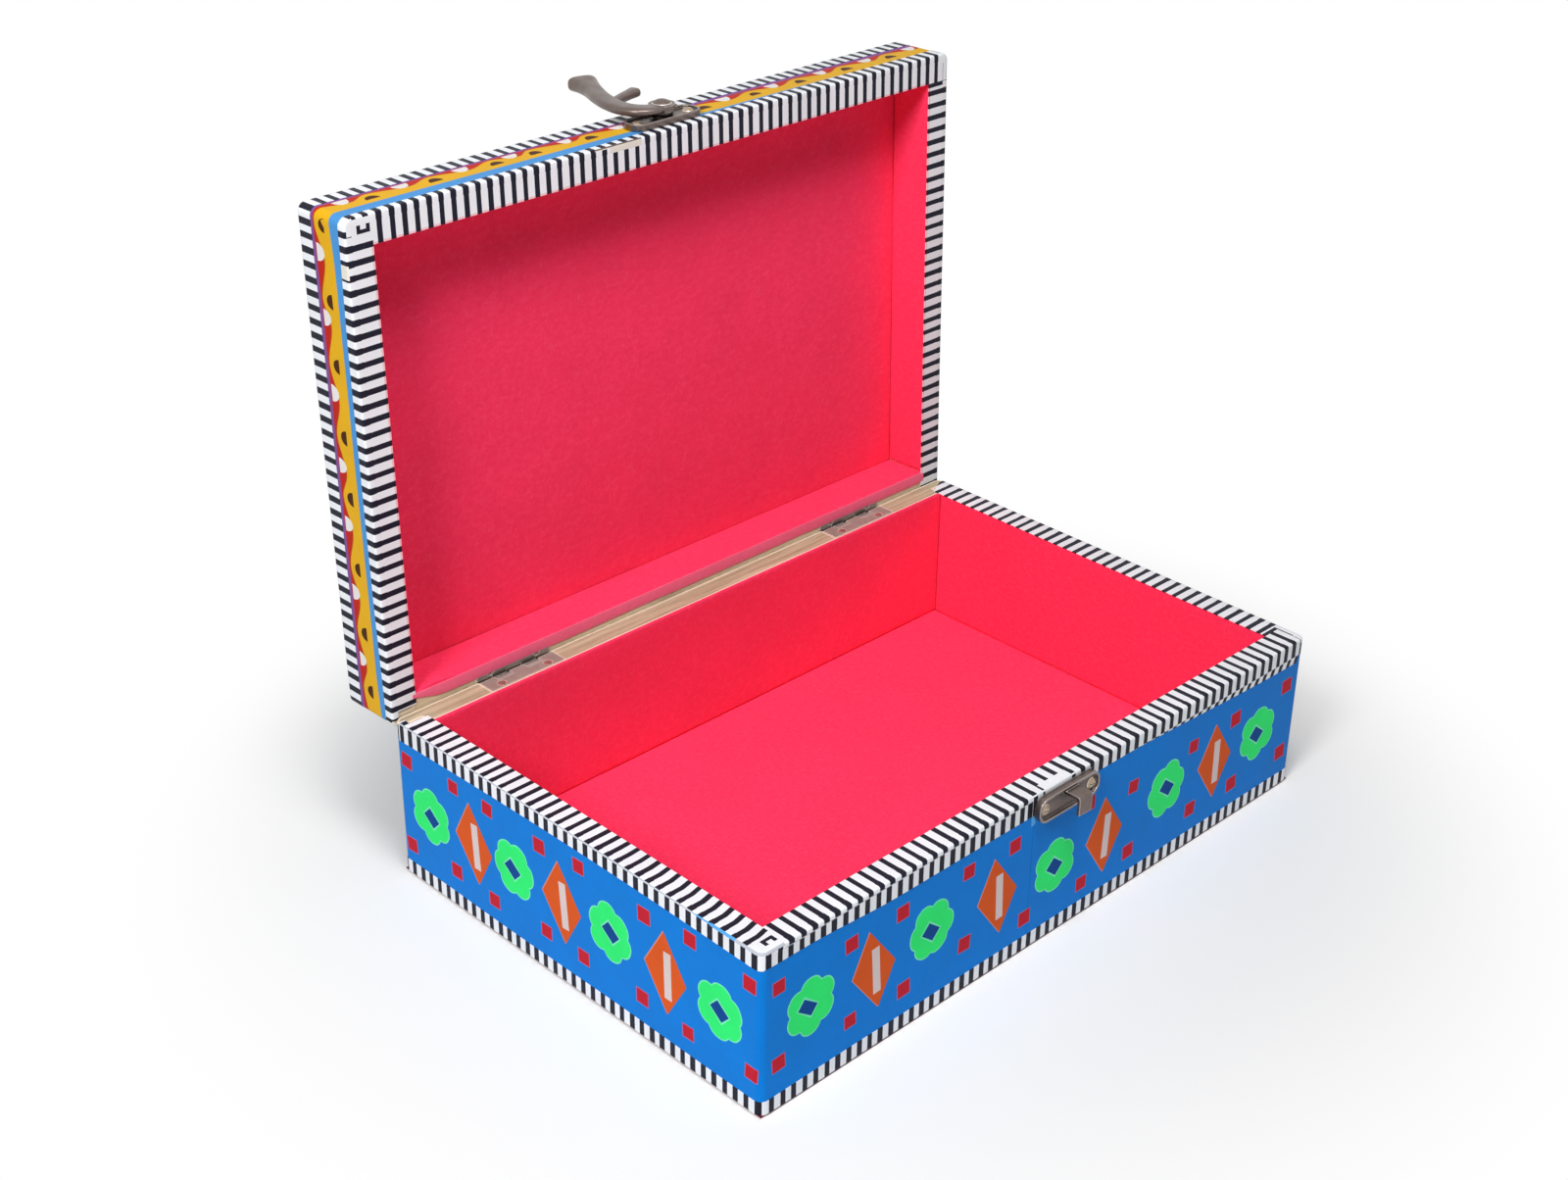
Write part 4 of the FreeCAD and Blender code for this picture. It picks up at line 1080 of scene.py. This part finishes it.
def lid_top():
    """Blue film on the lid with flowers and rhombi in turn, and red squares between them."""
    low, high = top_low, top_high
    ground = high.z - SKIN
    solid = Solid()
    outline = [(low.x, low.y), (high.x, low.y), (high.x, high.y), (low.x, high.y)]
    solid.plate(outline, lambda u, v, level: Vector((u, v, ground + level)), 0.0, FILM)
    solid.piece("lid_top_film", "lid", [BLUE], "printed_sheet", nodes=["lid_top_sheet"])
    pattern = Pattern("lid", "lid_top_")
    step_x = (high.x - low.x) / TOP_COLUMNS
    step_y = (high.y - low.y) / TOP_ROWS

    def put_near(x, y, drift):
        """Places a cut-out's points round a middle that chance moves a little."""
        x += DRAW.uniform(-drift, drift) * MM
        y += DRAW.uniform(-drift, drift) * MM
        return lambda u, v, level: Vector((x + u, y + v, ground + level))
    for row in range(TOP_ROWS):
        for column in range(TOP_COLUMNS):
            put = put_near(low.x + (column + 0.5) * step_x, low.y + (row + 0.5) * step_y, MOTIF_DRIFT)
            if (row + column) % 2:
                pattern.rhombus(put, DRAW.uniform(*TOP_LEANS) * MM, DRAW.uniform(*TOP_TILTS))
            else:
                pattern.flower(put, DRAW.uniform(*TOP_TURNS))
    for row in range(TOP_ROWS + 1):
        for column in range(TOP_COLUMNS + 1):
            x = min(max(low.x + column * step_x, low.x + TOP_MARGIN), high.x - TOP_MARGIN)
            y = min(max(low.y + row * step_y, low.y + TOP_MARGIN), high.y - TOP_MARGIN)
            pattern.square(put_near(x, y, SQUARE_DRIFT))
    pattern.finish()


# Felt

FELT_STEP, FELT_ROUND, FELT_WAVE, FELT_WAVE_STEP = mm(4, 0.5, 0.16, 21)
FELT_EDGE = mm(0.15, 0.4, 0.8, 1.4)
FELT_CREASE = 50
LIP_REACH, LIP_THICK, LIP_EASE, LIP_SHORT = 3.3 * MM, 0.35 * MM, 12 * MM, 0.3
LIP_SECTION = [(0.1, 0.0), (0.1, 0.6), (0.25, 1.0), (0.8, 1.0), (1.0, 0.7), (1.0, 0.0)]
PUCKER, PUCKER_AT, PUCKER_WIDTH = mm(1.1, 9, 6)
PUCKER_HEIGHT, PUCKER_FADE = 12 * MM, 1.4


def edge_lines(length):
    """Grid lines over a felt's width: close together at both edges, then even."""
    margin = FELT_EDGE[-1]
    count = max(int((length - 2 * margin) / FELT_STEP), 1)
    inner = [margin + (length - 2 * margin) * k / count for k in range(count + 1)]
    return [0.0] + FELT_EDGE[:-1] + inner + [length - end for end in FELT_EDGE[-2::-1]] + [length]


def felt_sheet(name, body, node, axis, sign, material=CRIMSON, slot="lining_felt", lapped=False):
    """Felt glued in its node's place: an uneven soft face, rounded edges and a flat back."""
    low, high = shut_box(node) if body == "lid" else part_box(node)
    u_axis, v_axis = [k for k in range(3) if k != axis]
    size_u, size_v = high[u_axis] - low[u_axis], high[v_axis] - low[v_axis]
    lines_u, lines_v = edge_lines(size_u), edge_lines(size_v)
    back, face = (low[axis], high[axis])[::sign]

    def at(u, v, depth):
        point = Vector()
        point[u_axis], point[v_axis], point[axis] = low[u_axis] + u, low[v_axis] + v, depth
        return point

    def dip(u, v):
        near = min(u, v, size_u - u, size_v - v)
        edge = FELT_ROUND * (1 - math.sqrt(1 - (1 - min(near / FELT_EDGE[-1], 1)) ** 2))
        wave = FELT_WAVE * (0.5 + 0.5 * noise.noise(at(u, v, face) / FELT_WAVE_STEP))
        return edge + wave - (corner_pucker(u, v) if lapped else 0.0)
    verts = [at(u, v, face - sign * dip(u, v)) for u in lines_u for v in lines_v]
    rows, last = len(lines_v), len(lines_u) - 1
    faces = [(i * rows + j, (i + 1) * rows + j, (i + 1) * rows + j + 1, i * rows + j + 1)
             for i in range(last) for j in range(rows - 1)]
    ring = [i * rows for i in range(last + 1)] + [last * rows + j for j in range(1, rows)]
    ring += [i * rows + rows - 1 for i in range(last - 1, -1, -1)] + list(range(rows - 2, 0, -1))
    under, count = len(verts), len(ring)
    for k in ring:
        point = Vector(verts[k])
        point[axis] = back
        verts.append(point)
    faces += [(ring[k], ring[(k + 1) % count], under + (k + 1) % count, under + k) for k in range(count)]
    faces.append(tuple(range(under + count - 1, under - 1, -1)))
    paint = [0] * len(faces)
    if lapped:
        rear_lip(verts, faces, low, high)
        # the lip over the rear rim takes the lighter felt, as painted light
        paint += [1] * (len(faces) - len(paint))
    obj = piece(name, body, verts, faces, [material, FELT_PAINTED_LIGHTER], paint, slot, [node], FELT_CREASE)


def corner_pucker(u, v):
    """A loose end of the lid's rear lining that stands a little off the wood."""
    along = math.exp(-((u - PUCKER_AT) / PUCKER_WIDTH) ** 2)
    return PUCKER * along * smooth(PUCKER_FADE - v / PUCKER_HEIGHT)


def rear_lip(verts, faces, low, high):
    """The lid's rear felt laps over the bare rim: a thin strip with an uneven edge and a short left end."""
    def place(u, point):
        full = LIP_SHORT + (1 - LIP_SHORT) * smooth(u / LIP_EASE)
        reach = LIP_REACH * full + wobble(u, 0.3 * MM, 18 * MM, 4.4)
        across = (high.y - low.y) + reach
        return Vector((low.x + u, low.y + point[0] * across, low.z - point[1] * LIP_THICK))
    solid = Solid()
    solid.sweep(edge_lines(high.x - low.x), LIP_SECTION, place)
    first = len(verts)
    verts += solid.verts
    faces += [tuple(first + k for k in face) for face in solid.faces]


def linings():
    """Red felt on every inner face of the base and lid, and dark felt under the foot."""
    for body, level, board, up in (
            ("base", "floor", "base_bottom_board", 1), ("lid", "top", "lid_top_board", -1)):
        felt_sheet("%s_%s_felt" % (body, level), body, "%s_%s_lining" % (body, level), 2, up)
        for side, axis, sign in (("front", 1, 1), ("back", 1, -1), ("left", 0, 1), ("right", 0, -1)):
            wall = "%s_%s" % (body, side)
            felt_sheet(wall + "_felt", body, wall + "_lining", axis, sign,
                       lapped=wall == "lid_back")
    felt_sheet("foot_felt", "base", "underside_felt", 2, -1, MAROON, "foot_felt")


# Lever of the latch: a flat cast horn with a flared end and a claw

# Across and up from the pivot in millimetres, heading in degrees, width and depth in millimetres
HORN_LINE = (
    (-2.4, -0.6, 184, 6.8, 2.1), (-5.2, -0.8, 168, 7.2, 2.4), (-9.0, 1.6, 126, 7.2, 2.9),
    (-10.7, 6.4, 96, 7.0, 3.0), (-10.0, 13.4, 79, 6.9, 3.0), (-7.6, 21.0, 70, 6.6, 3.2),
    (-4.6, 28.0, 66, 6.6, 3.6), (-2.4, 33.2, 67, 7.6, 4.2), (-1.0, 36.8, 70, 9.0, 4.8),
    (-0.5, 38.6, 72, 9.7, 5.0), (-0.2, 39.6, 72, 9.2, 4.5), (0.0, 40.2, 72, 6.4, 2.8))
CLAW_LINE = (
    (-9.6, 13.4, 20, 3.4, 2.6), (-6.2, 14.7, 22, 3.0, 2.8), (-2.6, 16.1, 20, 3.0, 3.0),
    (1.0, 17.3, 18, 3.4, 3.0), (3.6, 18.1, 16, 4.2, 3.0), (4.9, 18.5, 16, 4.3, 2.8),
    (5.3, 18.6, 16, 3.4, 2.0))
HORN_RISE = 4.85 * MM
HUB_LOW, HUB_HIGH, HUB_BORE, HUB_EDGE = mm(3.6, 5.8, 1.68, 4.4)
CAST_STEPS, CAST_POINTS, CAST_SQUARENESS = 6, 28, 3.2
CAST_ANGLES = [2 * math.pi * k / CAST_POINTS for k in range(CAST_POINTS)]


def between(rows, place):
    """Values at a place along rows of numbers, on a smooth curve through them."""
    k = min(int(place), len(rows) - 2)
    f = place - k
    before, here, there, after = (rows[min(max(k + step, 0), len(rows) - 1)] for step in (-1, 0, 1, 2))
    return [b + 0.5 * f * (c - a + f * (2 * a - 5 * b + 4 * c - d + f * (3 * (b - c) + d - a)))
            for a, b, c, d in zip(before, here, there, after)]


def cast_bar(solid, pivot, line):
    """A cast bar with rounded square sections along a line in the latch's plane."""
    power = 2 / CAST_SQUARENESS
    section = [tuple(math.copysign(abs(value) ** power, value) / 2 for value in (math.cos(a), math.sin(a)))
               for a in CAST_ANGLES]

    def place(station, point):
        across, up, heading, width, depth = between(line, station)
        side = Vector((math.sin(math.radians(heading)), 0, -math.cos(math.radians(heading))))
        middle = pivot + Vector((across * MM, -HORN_RISE, up * MM))
        return middle + side * (point[0] * width * MM) - Vector((0, point[1] * depth * MM, 0))
    count = (len(line) - 1) * CAST_STEPS
    solid.sweep([k / CAST_STEPS for k in range(count + 1)], section, place)


def hub_ring(solid, pivot):
    """The eye of the lever round its rivet."""
    first = len(solid.verts)
    corners = [(HUB_BORE, HUB_LOW), (HUB_EDGE, HUB_LOW), (HUB_EDGE, HUB_HIGH), (HUB_BORE, HUB_HIGH)]
    solid.verts += [pivot + Vector((math.cos(angle) * radius, -out, math.sin(angle) * radius))
                    for angle in CAST_ANGLES for radius, out in corners]
    for k in range(CAST_POINTS):
        here, there = first + 4 * k, first + 4 * ((k + 1) % CAST_POINTS)
        for j in range(4):
            i = (j + 1) % 4
            solid.faces.append((here + j, here + i, there + i, there + j))
            solid.paint.append(0)


def latch_lever():
    """The horn, its claw and the eye round the rivet, in one casting."""
    pivot = SHUT @ Vector(JOINTS["latch_swing"]["pos_m"])
    pivot.y = -HALF_Y
    solid = Solid()
    hub_ring(solid, pivot)
    cast_bar(solid, pivot, HORN_LINE)
    cast_bar(solid, pivot, CLAW_LINE)
    soften(solid.piece("latch_lever_horn", "lever", [BRONZE], "bronze", nodes=["latch_lever"]))


# Finishes of the solids that are kept, by a node's name or its last word

FINISHES = {
    # the lid's back panel takes the lighter board as painted light
    "lid_back_panel": BOARD_PAINTED_LIGHTER, "panel": BOARD, "board": BOARD, "leaf": STEEL, "pin": STEEL,
    "screws": BRASS, "latch_plate": BRONZE, "strike_plate": BRONZE, "latch_rivet": BRONZE,
}
CAST = ("latch_plate", "strike_plate")
CAST_GRAIN, CAST_EASE, CAST_ROUNDS = 0.18 * MM, 0.5, 5


def finish_solids():
    """Gives each kept solid its material; cast pieces get their sharp edges softened."""
    for name, obj in NODES.items():
        if obj.hide_render:
            continue
        key = name if name in FINISHES else name.rsplit("_", 1)[-1]
        obj.data.materials.clear()
        obj.data.materials.append(FINISHES[key])
        if name in CAST:
            soften(obj)


def soften(obj):
    """Rounds a cast piece's edges on a fine grid."""
    grid = obj.modifiers.new("grain", "REMESH")
    grid.mode = "VOXEL"
    grid.voxel_size = CAST_GRAIN
    grid.use_smooth_shade = True
    ease = obj.modifiers.new("ease", "SMOOTH")
    ease.factor = CAST_EASE
    ease.iterations = CAST_ROUNDS


# Floor, light and camera

FLOOR_HALF, WHITE_FROM, WHITE_TO = 6.0, 0.125, 0.25
DIM_WORLD = 0.04
LAMP_AIM, LAMP_SIZE = Vector((0, 0, 0.08)), 0.38
CAMERA_PLACE = (-0.48016, -0.44863, 0.44728)
CAMERA_TURN = (61.3835, -0.5601, -44.3115)
LENS, SENSOR, CLIP_START = 53.836, 36.0, 0.01


def looked_at(tree):
    """1 for what the camera sees, straight or in gloss and glass, and 0 for the light on the object."""
    path = add_node(tree, "LightPath").outputs
    seen = path["Is Camera Ray"]
    for other in ("Is Glossy Ray", "Is Transmission Ray"):
        seen = add_node(tree, "Math", {0: seen, 1: path[other]}, operation="MAXIMUM").outputs[0]
    return seen


def floor_material():
    """White floor with the object's shadow near it, and plain white further away."""
    made = Shader("floor_white", Roughness=0.9, Specular_IOR_Level=0.0, Base_Color=FLOOR_GREY)
    away = made.node("VectorMath", {0: made.coords}, operation="LENGTH").outputs["Value"]
    share = made.node("MapRange", {
        "Value": away, "From Min": WHITE_FROM, "From Max": WHITE_TO}, interpolation_type="SMOOTHSTEP")
    plain = made.node("Emission", {"Strength": 1.0})
    blend = made.node("MixShader", {
        0: made.maths("MULTIPLY", share.outputs["Result"], looked_at(made.tree)),
        1: made.main.outputs["BSDF"], 2: plain.outputs["Emission"]})
    made.tree.links.new(blend.outputs["Shader"], made.tree.nodes["Material Output"].inputs["Surface"])
    return made.material


def stage():
    """A plain white floor that keeps a soft shadow, under an even studio light."""
    mesh = bpy.data.meshes.new("floor")
    corners = [(x * FLOOR_HALF, y * FLOOR_HALF, 0) for x, y in ((-1, -1), (1, -1), (1, 1), (-1, 1))]
    mesh.from_pydata(corners, [], [(0, 1, 2, 3)])
    mesh.materials.append(floor_material())
    floor = add("floor", mesh)
    world = bpy.data.worlds.new("studio")
    SCENE.world = world
    world.use_nodes = True
    tree = world.node_tree
    links = {"Value": looked_at(tree), "To Min": DIM_WORLD, "To Max": 1.0}
    level = add_node(tree, "MapRange", links)
    ground = tree.nodes["Background"]
    ground.inputs["Color"].default_value = GREY_LIT
    tree.links.new(level.outputs["Result"], ground.inputs["Strength"])


def lamp(name, place, power):
    """A round soft lamp that faces the box."""
    data = bpy.data.lights.new(name, "AREA")
    data.shape = "DISK"
    data.size = LAMP_SIZE
    data.energy = power
    obj = add(name, data)
    obj.location = place
    obj.rotation_euler = (LAMP_AIM - Vector(place)).to_track_quat("-Z", "Y").to_euler()


def camera():
    """The camera fitted to the photo."""
    data = bpy.data.cameras.new("camera")
    data.lens = LENS
    data.sensor_fit = "HORIZONTAL"
    data.sensor_width = SENSOR
    data.clip_start = CLIP_START
    obj = add("camera", data)
    obj.location = CAMERA_PLACE
    obj.rotation_euler = [math.radians(angle) for angle in CAMERA_TURN]
    SCENE.camera = obj


# The whole object

foot_tape()
rim_tape("base", BASE_SEED, RIM_PHASE, rim_low.z, rim_high.z, 1, base_sag, BASE_WEAR_AND_SHADE,
         slip=front_slip, lag=0.0, bends={"left": lean_left, "right": mitre_right})
rim_tape("lid", LID_SEED, LID_PHASE, lid_rim_high.z, lid_rim_low.z, -1, lid_sag, LID_WEAR,
         slip=lambda s: 0.0, lag=PITCH / 2, bends={})
rear_tape("base_rear_tape", rear_low.z, rear_high.z, BASE_REAR_SEED,
          rear_high.z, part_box("hinge_left_base_leaf")[0].z - HINGE_ROOM)
rear_tape("lid_rear_tape", lid_rear_low.z, lid_rear_high.z, LID_REAR_SEED,
          lid_rear_low.z, shut_box("hinge_left_lid_leaf")[1].z + HINGE_ROOM)
top_tape()
base_sheets()
base_pattern()
lid_bands()
band_marks()
lid_top()
linings()
latch_lever()
finish_solids()
stage()
lamp("key", (-0.95, -0.3, 0.95), 10.6)
lamp("overhead", (-0.2, -0.35, 1.2), 7.5)
camera()

SCENE.view_settings.view_transform = "Standard"
